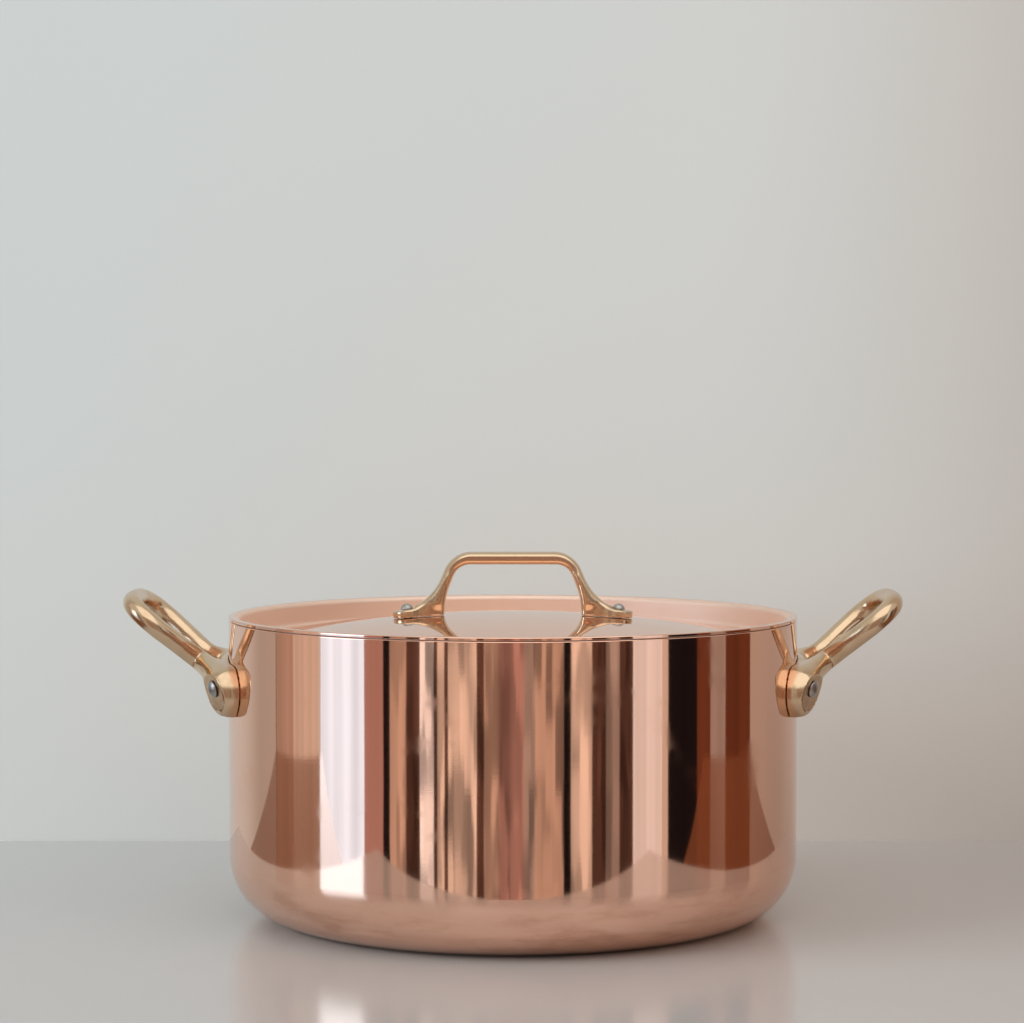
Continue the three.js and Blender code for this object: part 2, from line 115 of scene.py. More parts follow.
class Wire:
    """A shader socket that takes part in Python arithmetic: each operator adds a Math node."""

    def __init__(self, graph: "Graph", node: bpy.types.Node, output: str | int) -> None:
        """Hold one output of a node.

        Args:
            graph: The graph that the node is in.
            node: The node.
            output: The output's name or number.
        """
        self.graph = graph
        self.node = node
        self.socket = node.outputs[output] if node.outputs else None

    def out(self, name: str) -> "Wire":
        """Another output of the same node."""
        return Wire(self.graph, self.node, name)

    def math(self, operation: str, *values: "Value") -> "Wire":
        """A Math node on the given values."""
        return self.graph.node("ShaderNodeMath", {"operation": operation}, dict(enumerate(values)))

    def __add__(self, other: "Value") -> "Wire":
        """self + other."""
        return self.math("ADD", self, other)

    def __radd__(self, other: "Value") -> "Wire":
        """other + self."""
        return self.math("ADD", other, self)

    def __sub__(self, other: "Value") -> "Wire":
        """self - other."""
        return self.math("SUBTRACT", self, other)

    def __rsub__(self, other: "Value") -> "Wire":
        """other - self."""
        return self.math("SUBTRACT", other, self)

    def __mul__(self, other: "Value") -> "Wire":
        """self * other."""
        return self.math("MULTIPLY", self, other)

    def __rmul__(self, other: "Value") -> "Wire":
        """other * self."""
        return self.math("MULTIPLY", other, self)

    def __truediv__(self, other: "Value") -> "Wire":
        """self / other."""
        return self.math("DIVIDE", self, other)

    def __rtruediv__(self, other: "Value") -> "Wire":
        """other / self."""
        return self.math("DIVIDE", other, self)

    def __gt__(self, other: "Value") -> "Wire":
        """1 where this is greater, otherwise 0."""
        return self.math("GREATER_THAN", self, other)

    def __lt__(self, other: "Value") -> "Wire":
        """1 where this is less, otherwise 0."""
        return self.math("LESS_THAN", self, other)

    def hypot(self, other: "Wire") -> "Wire":
        """The length of the hypotenuse over self and other."""
        return self.math("SQRT", self * self + other * other)

    def fade(self, low: float, high: float) -> "Wire":
        """A smooth step from 0 where the value is low to 1 where it is high."""
        settings = {"interpolation_type": "SMOOTHSTEP"}
        return self.graph.node("ShaderNodeMapRange", settings, {0: self, 1: low, 2: high})


Value = Wire | float | Sequence[float]


@dataclass(frozen=True)
class Grain:
    """A soft noise.

    Attributes:
        size: Rough size of a blotch in millimetres.
        detail: Number of finer layers.
        roughness: How strongly the finer layers show.
    """

    size: float
    detail: float = 2.0
    roughness: float = 0.5


@dataclass(frozen=True)
class Relief:
    """How far a bump stands out.

    Attributes:
        depth: Millimetres that a height of 1 stands for.
        strength: Share of the effect.
    """

    depth: float
    strength: float


class Graph:
    """Builds the nodes of one material or world."""

    def __init__(self, tree: bpy.types.NodeTree) -> None:
        """Start from an empty tree.

        Args:
            tree: The node tree to fill.
        """
        self.tree = tree
        tree.nodes.clear()

    def node(
        self,
        kind: str,
        settings: dict[str, object] | None = None,
        inputs: dict[str | int, Value] | None = None,
        output: str | int = 0,
    ) -> Wire:
        """Add a node.

        Args:
            kind: Blender's name of the node's type.
            settings: Properties, which are set first; stops are a ramp's places and colours.
            inputs: Values or wires by socket.
            output: The output that the returned wire holds.

        Returns:
            A wire on the node.
        """
        made = self.tree.nodes.new(kind)
        for name, value in (settings or {}).items():
            if name == "stops":
                self._fill_ramp(made.color_ramp, value)
            else:
                setattr(made, name, value)
        for name, value in (inputs or {}).items():
            if isinstance(value, Wire):
                self.tree.links.new(value.socket, made.inputs[name])
            else:
                made.inputs[name].default_value = value
        return Wire(self, made, output)

    @staticmethod
    def _fill_ramp(ramp: bpy.types.ColorRamp, stops: Sequence[tuple[float, Colour]]) -> None:
        """Put a ramp's stops in place, with a hard edge at each.

        Args:
            ramp: A new node's ramp, which has two stops.
            stops: Places from 0 to 1 with their colours, in order.
        """
        ramp.interpolation = "CONSTANT"
        for place, _ in stops[2:]:
            ramp.elements.new(place)
        for element, (place, colour) in zip(ramp.elements, stops):
            element.position = place
            element.color = (*colour, 1.0)

    def mix(self, share: Value, first: Value, second: Value, blend: str = "MIX") -> Wire:
        """Mix two colours.

        Args:
            share: How much of the second colour to take.
            first: A colour or a wire.
            second: A colour or a wire.
            blend: Blender's name of the blend.

        Returns:
            The mixed colour.
        """
        colours = [(*c, 1.0) if isinstance(c, tuple) else c for c in (first, second)]
        settings = {"data_type": "RGBA", "blend_type": blend}
        return self.node("ShaderNodeMix", settings, {0: share, 6: colours[0], 7: colours[1]}, 2)

    def noise(self, place: Wire, grain: Grain) -> Wire:
        """Soft noise.

        Args:
            place: Coordinates in metres.
            grain: Size and detail of the noise.

        Returns:
            Noise around 0.5.
        """
        inputs = {
            "Vector": place,
            "Scale": 1 / (grain.size * MM),
            "Detail": grain.detail,
            "Roughness": grain.roughness,
        }
        return self.node("ShaderNodeTexNoise", {}, inputs)

    def stretched(self, place: Wire, stretch: Sequence[float]) -> Wire:
        """Coordinates multiplied axis by axis."""
        return self.node("ShaderNodeVectorMath", {"operation": "MULTIPLY"}, {0: place, 1: stretch})

    def bump(self, height: Wire, relief: Relief, under: Wire | None = None) -> Wire:
        """A bumped normal.

        Args:
            height: Height between 0 and 1.
            relief: How far the bump stands out.
            under: A normal that the bump adds to.

        Returns:
            The normal.
        """
        inputs = {"Strength": relief.strength, "Distance": relief.depth * MM, "Height": height}
        if under:
            inputs["Normal"] = under
        return self.node("ShaderNodeBump", {}, inputs)


@dataclass(frozen=True)
class Finish(ABC):
    """A metal finish.

    Attributes:
        colour: What the clean metal reflects.
        dull: The same metal where it has toned down.
        roughness: Roughness of the clean metal.
    """

    colour: Colour
    dull: Colour
    roughness: float

    @abstractmethod
    def surface(self, graph: Graph, place: Wire) -> dict[str, Value]:
        """Work out the sockets that vary over the surface.

        Args:
            graph: The material's nodes.
            place: Coordinates in metres, fixed to the piece.

        Returns:
            Values or wires for the shader's sockets.
        """

    def material(self, name: str) -> bpy.types.Material:
        """Make the material.

        Args:
            name: The material's name.

        Returns:
            The new material.
        """
        made = bpy.data.materials.new(name)
        made.use_nodes = True
        graph = Graph(made.node_tree)
        place = graph.node("ShaderNodeTexCoord", output="Object")
        sockets = {"Metallic": 1.0, **self.surface(graph, place)}
        shader = graph.node("ShaderNodeBsdfPrincipled", {}, sockets)
        graph.node("ShaderNodeOutputMaterial", {}, {"Surface": shader})
        return made


@dataclass(frozen=True)
class PolishedCopper(Finish):
    """Mirror-polished copper: faint finger smudges, cloth hairlines and a wall that isn't quite true.

    Attributes:
        worn: The copper where it is smeared, near the base.
        pale: The satin copper of the lid's step.
        satin: Roughness that the step adds.
        step_start: Distances from the axis between which the step begins.
        step_end: Distances from the axis between which it ends.
        step_height: Heights between which it begins.
        smudge: Finger smudges.
        smudge_span: Noise at which a smudge begins and is full.
        smudge_share: How far a smudge dulls the copper.
        smudge_haze: Roughness that a smudge adds.
        toning: Wide patches that have toned down.
        toning_span: Noise at which a patch begins and is full.
        toning_share: How far a patch dulls the copper.
        smear: Smears near the base.
        smear_stretch: Stretch of the coordinates that draws the smears out along the base.
        smear_span: Noise at which a smear begins and is full.
        smear_height: Heights between which the smears end.
        smear_share: How far a smear takes on the worn colour.
        smear_haze: Roughness that a smear adds.
        hairline: Fine lines of the polishing cloth.
        hairline_stretch: Stretch of the coordinates that draws the lines out round the pot.
        hairline_haze: Roughness that the lines add.
        hairline_relief: Depth of the lines.
        ripple: Unevenness of the wall.
        ripple_relief: Depth of that.
    """

    colour: Colour = (0.93, 0.585, 0.44)
    dull: Colour = (0.80, 0.44, 0.29)
    roughness: float = 0.035
    worn: Colour = (0.60, 0.31, 0.20)
    pale: Colour = (0.97, 0.75, 0.625)
    satin: float = 0.55
    step_start: Span = (0.1135, 0.1150)
    step_end: Span = (0.1165, 0.1180)
    step_height: Span = (0.114, 0.117)
    smudge: Grain = Grain(size=26.0, detail=3.0, roughness=0.6)
    smudge_span: Span = (0.56, 0.74)
    smudge_share: float = 0.20
    smudge_haze: float = 0.07
    toning: Grain = Grain(size=78.0)
    toning_span: Span = (0.35, 0.8)
    toning_share: float = 0.22
    smear: Grain = Grain(size=11.0, detail=4.0, roughness=0.65)
    smear_stretch: Place = (0.25, 0.25, 1.0)
    smear_span: Span = (0.47, 0.68)
    smear_height: Span = (0.012, 0.034)
    smear_share: float = 0.55
    smear_haze: float = 0.06
    hairline: Grain = Grain(size=0.5, detail=2.0, roughness=0.7)
    hairline_stretch: Place = (0.12, 0.12, 1.0)
    hairline_haze: float = 0.02
    hairline_relief: Relief = Relief(depth=0.02, strength=0.06)
    ripple: Grain = Grain(size=38.0, detail=1.0)
    ripple_relief: Relief = Relief(depth=0.3, strength=0.16)

    def surface(self, graph: Graph, place: Wire) -> dict[str, Value]:
        """Smudges and smears dull the mirror, a ripple makes it wander, and the lid's step is satin.

        Args:
            graph: The material's nodes.
            place: Coordinates in metres, fixed to the piece.

        Returns:
            Values or wires for the shader's sockets.
        """
        axes = graph.node("ShaderNodeSeparateXYZ", {}, {0: place})
        height = axes.out("Z")
        out = axes.out("X").hypot(axes.out("Y"))
        ring = out.fade(*self.step_start) * (1.0 - out.fade(*self.step_end))
        step = ring * height.fade(*self.step_height)
        smudges = graph.noise(place, self.smudge).fade(*self.smudge_span)
        toning = graph.noise(place, self.toning).fade(*self.toning_span)
        wiped = graph.stretched(place, self.smear_stretch)
        near_base = 1.0 - height.fade(*self.smear_height)
        smears = graph.noise(wiped, self.smear).fade(*self.smear_span) * near_base
        around = graph.stretched(place, self.hairline_stretch)
        hairlines = graph.noise(around, self.hairline)
        dulled = self.toning_share * toning + self.smudge_share * smudges
        polished = graph.mix(dulled, self.colour, self.dull)
        used = graph.mix(self.smear_share * smears, polished, self.worn)
        colour = graph.mix(step, used, self.pale)
        haze = self.smudge_haze * smudges + self.smear_haze * smears
        roughness = self.roughness + haze + self.hairline_haze * hairlines + self.satin * step
        rippled = graph.bump(graph.noise(place, self.ripple), self.ripple_relief)
        normal = graph.bump(hairlines, self.hairline_relief, rippled)
        return {"Base Color": colour, "Roughness": roughness, "Normal": normal}


@dataclass(frozen=True)
class CastBronze(Finish):
    """Polished cast bronze: soft cast skin, with darker toning where a cloth doesn't reach.

    Attributes:
        blotch: Blotches of toning.
        toning_span: Noise at which a blotch begins and is full.
        toning_share: How far a blotch dulls the bronze.
        toning_haze: Roughness that a blotch adds.
        scratch: Fine scratches.
        scratch_stretch: Stretch of the coordinates that draws the scratches out.
        scratch_haze: Roughness that the scratches add.
        scratch_relief: Depth of the scratches.
        uneven: Wide unevenness of the casting.
        uneven_relief: Depth of that.
        skin: The casting's skin.
        skin_relief: Depth of the skin.
    """

    colour: Colour = (0.73, 0.535, 0.35)
    dull: Colour = (0.38, 0.24, 0.12)
    roughness: float = 0.17
    blotch: Grain = Grain(size=11.0, detail=4.0, roughness=0.6)
    toning_span: Span = (0.45, 0.8)
    toning_share: float = 0.35
    toning_haze: float = 0.10
    scratch: Grain = Grain(size=0.5, detail=2.0, roughness=0.7)
    scratch_stretch: Place = (1.0, 0.15, 0.6)
    scratch_haze: float = 0.06
    scratch_relief: Relief = Relief(depth=0.01, strength=0.25)
    uneven: Grain = Grain(size=11.0, detail=1.0)
    uneven_relief: Relief = Relief(depth=0.35, strength=0.35)
    skin: Grain = Grain(size=2.4)
    skin_relief: Relief = Relief(depth=0.06, strength=0.35)

    def surface(self, graph: Graph, place: Wire) -> dict[str, Value]:
        """Blotches tone and haze the bronze, over a skin with the faint unevenness of a casting.

        Args:
            graph: The material's nodes.
            place: Coordinates in metres, fixed to the piece.

        Returns:
            Values or wires for the shader's sockets.
        """
        toning = graph.noise(place, self.blotch).fade(*self.toning_span)
        scratches = graph.noise(graph.stretched(place, self.scratch_stretch), self.scratch)
        colour = graph.mix(self.toning_share * toning, self.colour, self.dull)
        roughness = self.roughness + self.toning_haze * toning + self.scratch_haze * scratches
        uneven = graph.bump(graph.noise(place, self.uneven), self.uneven_relief)
        cast = graph.bump(graph.noise(place, self.skin), self.skin_relief, uneven)
        normal = graph.bump(scratches, self.scratch_relief, cast)
        return {"Base Color": colour, "Roughness": roughness, "Normal": normal}


@dataclass(frozen=True)
class SpunSteel(Finish):
    """Satin steel lining with the fine rings that spinning and brushing leave.

    Attributes:
        ring: The rings.
        ring_stretch: Stretch across the rings' run, which draws them out round the axis.
        ring_share: How far the rings dull the steel.
        ring_haze: Roughness that the rings add.
        ring_relief: Depth of the rings.
        cloud: Wide patches.
        cloud_share: How far a patch dulls the steel.
        cloud_haze: Roughness that a patch adds.
        brushing: How far the brushing draws highlights out.
    """

    colour: Colour = (0.80, 0.79, 0.77)
    dull: Colour = (0.68, 0.67, 0.65)
    roughness: float = 0.30
    ring: Grain = Grain(size=0.35, detail=3.0, roughness=0.75)
    ring_stretch: float = 0.02
    ring_share: float = 0.25
    ring_haze: float = 0.10
    ring_relief: Relief = Relief(depth=0.03, strength=0.30)
    cloud: Grain = Grain(size=45.0)
    cloud_share: float = 0.5
    cloud_haze: float = 0.08
    brushing: float = 0.4

    def surface(self, graph: Graph, place: Wire) -> dict[str, Value]:
        """Rings run round the axis on the floor and on the wall alike.

        Args:
            graph: The material's nodes.
            place: Coordinates in metres, fixed to the piece.

        Returns:
            Values or wires for the shader's sockets.
        """
        axes = graph.node("ShaderNodeSeparateXYZ", {}, {0: place})
        across, depth, height = axes.out("X"), axes.out("Y"), axes.out("Z")
        along = height - across.hypot(depth)
        drawn_out = {0: across * self.ring_stretch, 1: depth * self.ring_stretch, 2: along}
        rings = graph.noise(graph.node("ShaderNodeCombineXYZ", {}, drawn_out), self.ring)
        clouds = graph.noise(place, self.cloud)
        dulled = self.cloud_share * clouds + self.ring_share * rings
        return {
            "Base Color": graph.mix(dulled, self.colour, self.dull),
            "Roughness": self.roughness + self.ring_haze * rings + self.cloud_haze * clouds,
            "Normal": graph.bump(rings, self.ring_relief),
            "Anisotropic": self.brushing,
        }


@dataclass(frozen=True)
class RivetSteel(Finish):
    """Grey steel rivet heads, peened and then wiped over with the polish.

    Attributes:
        dent: Dents of the peening.
        dent_span: Noise at which a dent begins to dull the steel and is full.
        dent_share: How far a dent dulls the steel.
        dent_relief: Depth of the dents.
        grit: Fine grit.
        grit_share: How far the grit dulls the steel.
        grit_haze: Roughness that the grit adds.
        grit_relief: Depth of the grit.
    """

    colour: Colour = (0.52, 0.50, 0.47)
    dull: Colour = (0.28, 0.26, 0.24)
    roughness: float = 0.26
    dent: Grain = Grain(size=1.7, detail=1.0)
    dent_span: Span = (0.3, 0.8)
    dent_share: float = 0.5
    dent_relief: Relief = Relief(depth=0.12, strength=0.5)
    grit: Grain = Grain(size=0.35, detail=3.0, roughness=0.7)
    grit_share: float = 0.3
    grit_haze: float = 0.16
    grit_relief: Relief = Relief(depth=0.02, strength=0.35)

    def surface(self, graph: Graph, place: Wire) -> dict[str, Value]:
        """Shallow peening dents under a fine grit.

        Args:
            graph: The material's nodes.
            place: Coordinates in metres, fixed to the piece.

        Returns:
            Values or wires for the shader's sockets.
        """
        dents = graph.noise(place, self.dent)
        grit = graph.noise(place, self.grit)
        dulled = self.dent_share * dents.fade(*self.dent_span) + self.grit_share * grit
        colour = graph.mix(dulled, self.colour, self.dull)
        roughness = self.roughness + self.grit_haze * grit
        peened = graph.bump(dents, self.dent_relief)
        normal = graph.bump(grit, self.grit_relief, peened)
        return {"Base Color": colour, "Roughness": roughness, "Normal": normal}


class Finishes:
    """The finishes of the pot, each made into a material once."""

    def __init__(self) -> None:
        """Make the four materials."""
        recipes: dict[Slot, Finish] = {
            Slot.COPPER: PolishedCopper(),
            Slot.BRONZE: CastBronze(),
            Slot.LINING: SpunSteel(),
            Slot.RIVET: RivetSteel(),
        }
        self.materials = {slot: finish.material(slot.value) for slot, finish in recipes.items()}

    def dress(self, node: str, mesh: bpy.types.Mesh, body: Body, slot: Slot) -> bpy.types.Object:
        """Put a finished piece in place of a plain solid.

        Args:
            node: The solid that the piece stands for.
            mesh: The piece's mesh, in metres and in place.
            body: The body that it moves with.
            slot: The finish that it takes.

        Returns:
            The new object.
        """
        piece = bpy.data.objects.new(f"{node}_finished", mesh)
        bpy.context.scene.collection.objects.link(piece)
        mesh.materials.append(self.materials[slot])
        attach(piece, body.value)
        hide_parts(node)
        log.info("%s: %d faces, on %s", piece.name, len(mesh.polygons), body.value)
        return piece


def arc(centre: Point, radius: float, start: float, end: float, steps: int) -> list[Point]:
    """Points of a profile along an arc.

    Args:
        centre: Distance from the axis and height of the arc's centre.
        radius: Radius of the arc.
        start: Angle of the first point in degrees.
        end: Angle of the last point in degrees.
        steps: Number of straight steps.

    Returns:
        The points, both ends included.
    """
    angles = np.radians(np.linspace(start, end, steps + 1))
    return [(centre[0] + radius * math.cos(a), centre[1] + radius * math.sin(a)) for a in angles]


def braced(profile: Sequence[Point]) -> list[Point]:
    """Add a point close to both ends of each straight that is long or ends in a corner.

    Smooth shading then keeps to the corners.

    Args:
        profile: Points of a profile.

    Returns:
        The profile with the added points.
    """
    reach = 0.05
    shortest = 4 * reach
    long = 8.0
    corner = math.radians(12)
    places = [Vector(p) for p in profile]
    steps = [b - a for a, b in zip(places, places[1:])]
    bends = [0.0, *(abs(a.angle_signed(b)) for a, b in zip(steps, steps[1:])), 0.0]
    out = [profile[0]]
    for i, (start, end) in enumerate(zip(profile, profile[1:])):
        length = steps[i].length
        cornered = max(bends[i], bends[i + 1]) > corner
        if length > long or (length > shortest and cornered):
            for share in (reach / length, 1 - reach / length):
                across = start[0] + (end[0] - start[0]) * share
                up = start[1] + (end[1] - start[1]) * share
                out.append((across, up))
        out.append(end)
    return out


def smooth_mesh(name: str, points: np.ndarray, faces: Sequence[Sequence[int]]) -> bpy.types.Mesh:
    """Make a smooth-shaded mesh.

    Args:
        name: The mesh's name.
        points: Corners in millimetres.
        faces: Corner numbers of each face.

    Returns:
        The mesh, in metres.
    """
    mesh = bpy.data.meshes.new(name)
    mesh.from_pydata((points * MM).tolist(), [], faces)
    mesh.shade_smooth()
    return mesh


def turn(profile: Sequence[Point], sides: int) -> tuple[np.ndarray, list[list[int]]]:
    """Turn a profile about Z.

    Args:
        profile: Distances from the axis and heights, anticlockwise, with both ends on the axis.
        sides: Number of facets round the axis.

    Returns:
        Points, and faces that look outwards.
    """
    inner = np.array(profile[1:-1])
    angles = np.linspace(0, 2 * math.pi, sides, endpoint=False)
    rings = np.stack(
        [
            np.outer(inner[:, 0], np.cos(angles)),
            np.outer(inner[:, 0], np.sin(angles)),
            np.repeat(inner[:, 1:], sides, axis=1),
        ],
        axis=-1,
    ).reshape(-1, 3)
    poles = np.array([[0, 0, profile[0][1]], [0, 0, profile[-1][1]]])
    first, last = len(rings), len(rings) + 1
    top = len(rings) - sides
    faces = []
    for j in range(sides):
        k = (j + 1) % sides
        faces.append([first, k, j])
        for ring in range(0, top, sides):
            faces.append([ring + j, ring + k, ring + sides + k, ring + sides + j])
        faces.append([top + j, top + k, last])
    return np.vstack([rings, poles]), faces


def aimed(points: np.ndarray, start: np.ndarray, direction: np.ndarray) -> np.ndarray:
    """Move points made about Z so that their axis starts at a point and runs in a direction.

    Args:
        points: Points about Z.
        start: Where the axis starts.
        direction: Unit vector of the axis.

    Returns:
        The moved points.
    """
    turned = Vector(direction).to_track_quat("Z", "Y").to_matrix()
    return points @ np.array(turned).T + start


def turned_about_z(points: np.ndarray, angle: float) -> np.ndarray:
    """Turn points about the pot's axis by an angle in radians."""
    return points @ np.array(Matrix.Rotation(angle, 3, "Z")).T


def spline(stations: np.ndarray, steps: int) -> np.ndarray:
    """A smooth curve through stations, by centripetal Catmull-Rom.

    Args:
        stations: Rows of X, Y, Z and any further values that follow along.
        steps: Points for each span.

    Returns:
        Rows along the curve.
    """
    rows = np.vstack([2 * stations[0] - stations[1], stations, 2 * stations[-1] - stations[-2]])
    curve = []
    for a, b, c, d in zip(rows, rows[1:], rows[2:], rows[3:]):
        spans = [np.linalg.norm((q - p)[:3]) ** 0.5 for p, q in ((a, b), (b, c), (c, d))]
        knots = np.cumsum([0, *spans])
        t = np.linspace(knots[1], knots[2], steps, endpoint=False)[:, None]

        def between(p: np.ndarray, q: np.ndarray, i: int, j: int) -> np.ndarray:
            """The straight way from p at knot i to q at knot j."""
            return p + (q - p) * (t - knots[i]) / (knots[j] - knots[i])

        ab, bc, cd = between(a, b, 0, 1), between(b, c, 1, 2), between(c, d, 2, 3)
        curve.append(between(between(ab, bc, 0, 2), between(bc, cd, 1, 3), 1, 2))
    return np.vstack([*curve, stations[-1:]])


def joined(first: np.ndarray, second: np.ndarray, fillet: float) -> np.ndarray:
    """Join two forms, given by their distances, with a fillet between them.

    Args:
        first: Distances to one form, negative inside.
        second: Distances to the other.
        fillet: Reach of the fillet.

    Returns:
        Distances to the joined form.
    """
    share = np.maximum(1 - np.abs(first - second) / fillet, 0)
    return np.minimum(first, second) - share**3 * fillet / 6


def cut(form: np.ndarray, cutter: np.ndarray, edge: float) -> np.ndarray:
    """Take a cutter out of a form and break the edge.

    Args:
        form: Distances to the form.
        cutter: Distances to what is taken away.
        edge: Reach of the broken edge.

    Returns:
        Distances to what is left.
    """
    return -joined(-form, cutter, edge)


def bar_distance(points: np.ndarray, path: np.ndarray) -> np.ndarray:
    """Distances to a round bar that follows a path.

    Args:
        points: Where to measure.
        path: Rows of a point on the path and the bar's radius there.

    Returns:
        Distances, negative inside the bar.
    """
    nearest = np.full(len(points), np.inf)
    for start, end in zip(path, path[1:]):
        along = end[:-1] - start[:-1]
        from_start = points - start[:-1]
        share = np.clip(from_start @ along / (along @ along), 0, 1)
        away = np.linalg.norm(from_start - share[:, None] * along, axis=1)
        np.minimum(nearest, away - start[-1] - share * (end[-1] - start[-1]), out=nearest)
    return nearest


@dataclass(frozen=True)
class RoundBoss:
    """A round boss that is cut off by a flat for a rivet.

    Attributes:
        start: Where the boss's axis leaves what it stands on.
        direction: Unit vector of the axis.
        face: Unit vector square to the flat.
        radius: Radius of the boss.
        height: Height of the flat on the axis.
        middle: Height of the boss's middle along the axis.
        depth: That middle to the top of the boss's round form.
        drop: How far that middle lies under the rivet's axis.
        bulge: 2 makes the boss an ellipsoid, more makes it squarer.
        edge: Rounding between the side and the flat.
        flat: Radius to which the flat is milled into what stands beside the boss.
    """

    start: np.ndarray
    direction: np.ndarray
    face: np.ndarray
    radius: float
    height: float
    middle: float
    depth: float
    drop: float
    bulge: float
    edge: float
    flat: float

    @property
    def seat(self) -> np.ndarray:
        """The middle of the flat."""
        return self.start + self.direction * self.height

    @staticmethod
    def along_and_out(
        points: np.ndarray, start: np.ndarray, axis: np.ndarray
    ) -> tuple[np.ndarray, np.ndarray]:
        """Heights along an axis and distances out from it.

        Args:
            points: Where to measure.
            start: A point on the axis.
            axis: Unit vector of the axis.

        Returns:
            Heights and distances.
        """
        away = points - start
        along = away @ axis
        return along, np.linalg.norm(away - along[:, None] * axis, axis=1)

    def distance(self, points: np.ndarray) -> np.ndarray:
        """Measure the boss.

        Args:
            points: Where to measure.

        Returns:
            Distances to the boss, negative inside.
        """
        middle = self.start + self.direction * self.middle - np.array([0, 0, self.drop])
        along, out = self.along_and_out(points, middle, self.direction)
        round_form = (out / self.radius) ** self.bulge + (np.abs(along) / self.depth) ** self.bulge
        body = (round_form ** (1 / self.bulge) - 1) * self.radius
        return cut(body, (self.seat - points) @ self.face, self.edge)

    def cutter(self, points: np.ndarray) -> np.ndarray:
        """Distances to the end mill that makes the flat, negative inside."""
        over, out = self.along_and_out(points, self.seat, self.face)
        return np.maximum(out - self.flat, -over)


def slope_of(form: Form, points: np.ndarray) -> np.ndarray:
    """The direction in which a form's distance grows.

    Args:
        form: Gives distances.
        points: Where to measure.

    Returns:
        One vector for each point.
    """
    step = 0.04
    sides = np.eye(3) * step
    return np.stack([(form(points + s) - form(points - s)) / (2 * step) for s in sides], axis=1)


def sampled(form: Form, grid: np.ndarray, cell: float) -> np.ndarray:
    """Distances on a grid, exact near the surface and from a coarser grid elsewhere.

    Args:
        form: Gives distances.
        grid: Points, with one axis of the array for each axis of space.
        cell: Distance between neighbouring points.

    Returns:
        The distance at each point of the grid.
    """
    stride = 4
    coarse = grid[::stride, ::stride, ::stride]
    value = form(coarse.reshape(-1, 3)).reshape(coarse.shape[:3])
    for axis, count in enumerate(grid.shape[:3]):
        value = np.take(value, np.arange(count) // stride, axis=axis)
    near = np.abs(value) < 2 * stride * cell
    value[near] = form(grid[near])
    return value


def settled(form: Form, points: np.ndarray, farthest: float) -> np.ndarray:
    """Move points along the slope of a form onto its surface.

    Args:
        form: Gives distances.
        points: Points near the surface.
        farthest: The longest step.

    Returns:
        Points on the surface.
    """
    rounds = 3
    least_slope = 0.1
    for _ in range(rounds):
        slope = slope_of(form, points)
        move = form(points) / np.maximum((slope**2).sum(axis=1), least_slope)
        points = points - np.clip(move, -farthest, farthest)[:, None] * slope
    return points


def skin_faces(
    value: np.ndarray, crossings: Sequence[np.ndarray], number: np.ndarray
) -> list[list[int]]:
    """Faces round the edges of a grid that cross a surface.

    Args:
        value: Distances on the grid.
        crossings: For each axis, which of the edges along it cross the surface.
        number: Number of the point in each cell.

    Returns:
        Point numbers of each face, turned so that it looks outwards.
    """
    faces = []
    for axis, crossed in enumerate(crossings):
        second, third = (axis + 1) % 3, (axis + 2) % 3
        found = np.argwhere(crossed)
        corners = []
        for back_second, back_third in ((1, 1), (0, 1), (0, 0), (1, 0)):
            place = found.copy()
            place[:, second] -= back_second
            place[:, third] -= back_third
            corners.append(number[tuple(place.T)])
        quads = np.stack(corners, axis=1)
        leaving = value[tuple(found.T)] < 0
        faces.append(np.where(leaving[:, None], quads, quads[:, ::-1]))
    return np.vstack(faces).tolist()


def casting(
    name: str, form: Form, low: Sequence[float], high: Sequence[float], cell: float
) -> bpy.types.Mesh:
    """Put a skin over a form that is given by its distances.

    Each cell of a grid that the form's surface passes through gets one point, and each edge of the
    grid that crosses the surface gets a face between the four cells round it.

    Args:
        name: The mesh's name.
        form: Gives the distance of each point, negative inside.
        low: Lowest corner of a box round the form.
        high: Highest corner of that box.
        cell: Size of a face.

    Returns:
        A closed smooth mesh in metres.
    """
    axes = [np.arange(a, b + cell, cell) for a, b in zip(low, high)]
    grid = np.stack(np.meshgrid(*axes, indexing="ij"), axis=-1)
    value = sampled(form, grid, cell)
    cells = tuple(n - 1 for n in value.shape)
    total = np.zeros((*cells, 3))
    count = np.zeros(cells)
    crossings = []
    for axis in range(3):
        before = tuple(slice(0, -1) if a == axis else slice(None) for a in range(3))
        after = tuple(slice(1, None) if a == axis else slice(None) for a in range(3))
        crossed = (value[before] < 0) != (value[after] < 0)
        fall = np.where(crossed, value[before] - value[after], 1)
        share = np.where(crossed, value[before] / fall, 0)
        where = grid[before] + share[..., None] * (grid[after] - grid[before])
        crossings.append(crossed)
        for offset in np.ndindex(2, 2):
            ways = iter(offset)
            edge = tuple(
                slice(None) if a == axis else slice(o, n + o)
                for a, n in enumerate(cells)
                for o in [0 if a == axis else next(ways)]
            )
            total += np.where(crossed[edge][..., None], where[edge], 0)
            count += crossed[edge]
    used = count > 0
    number = np.full(cells, -1)
    number[used] = np.arange(used.sum())
    points = settled(form, total[used] / count[used][:, None], cell)
    mesh = smooth_mesh(name, points, skin_faces(value, crossings, number))
    normals = slope_of(form, points)
    normals /= np.linalg.norm(normals, axis=1, keepdims=True)
    mesh.normals_split_custom_set_from_vertices(normals.tolist())
    return mesh


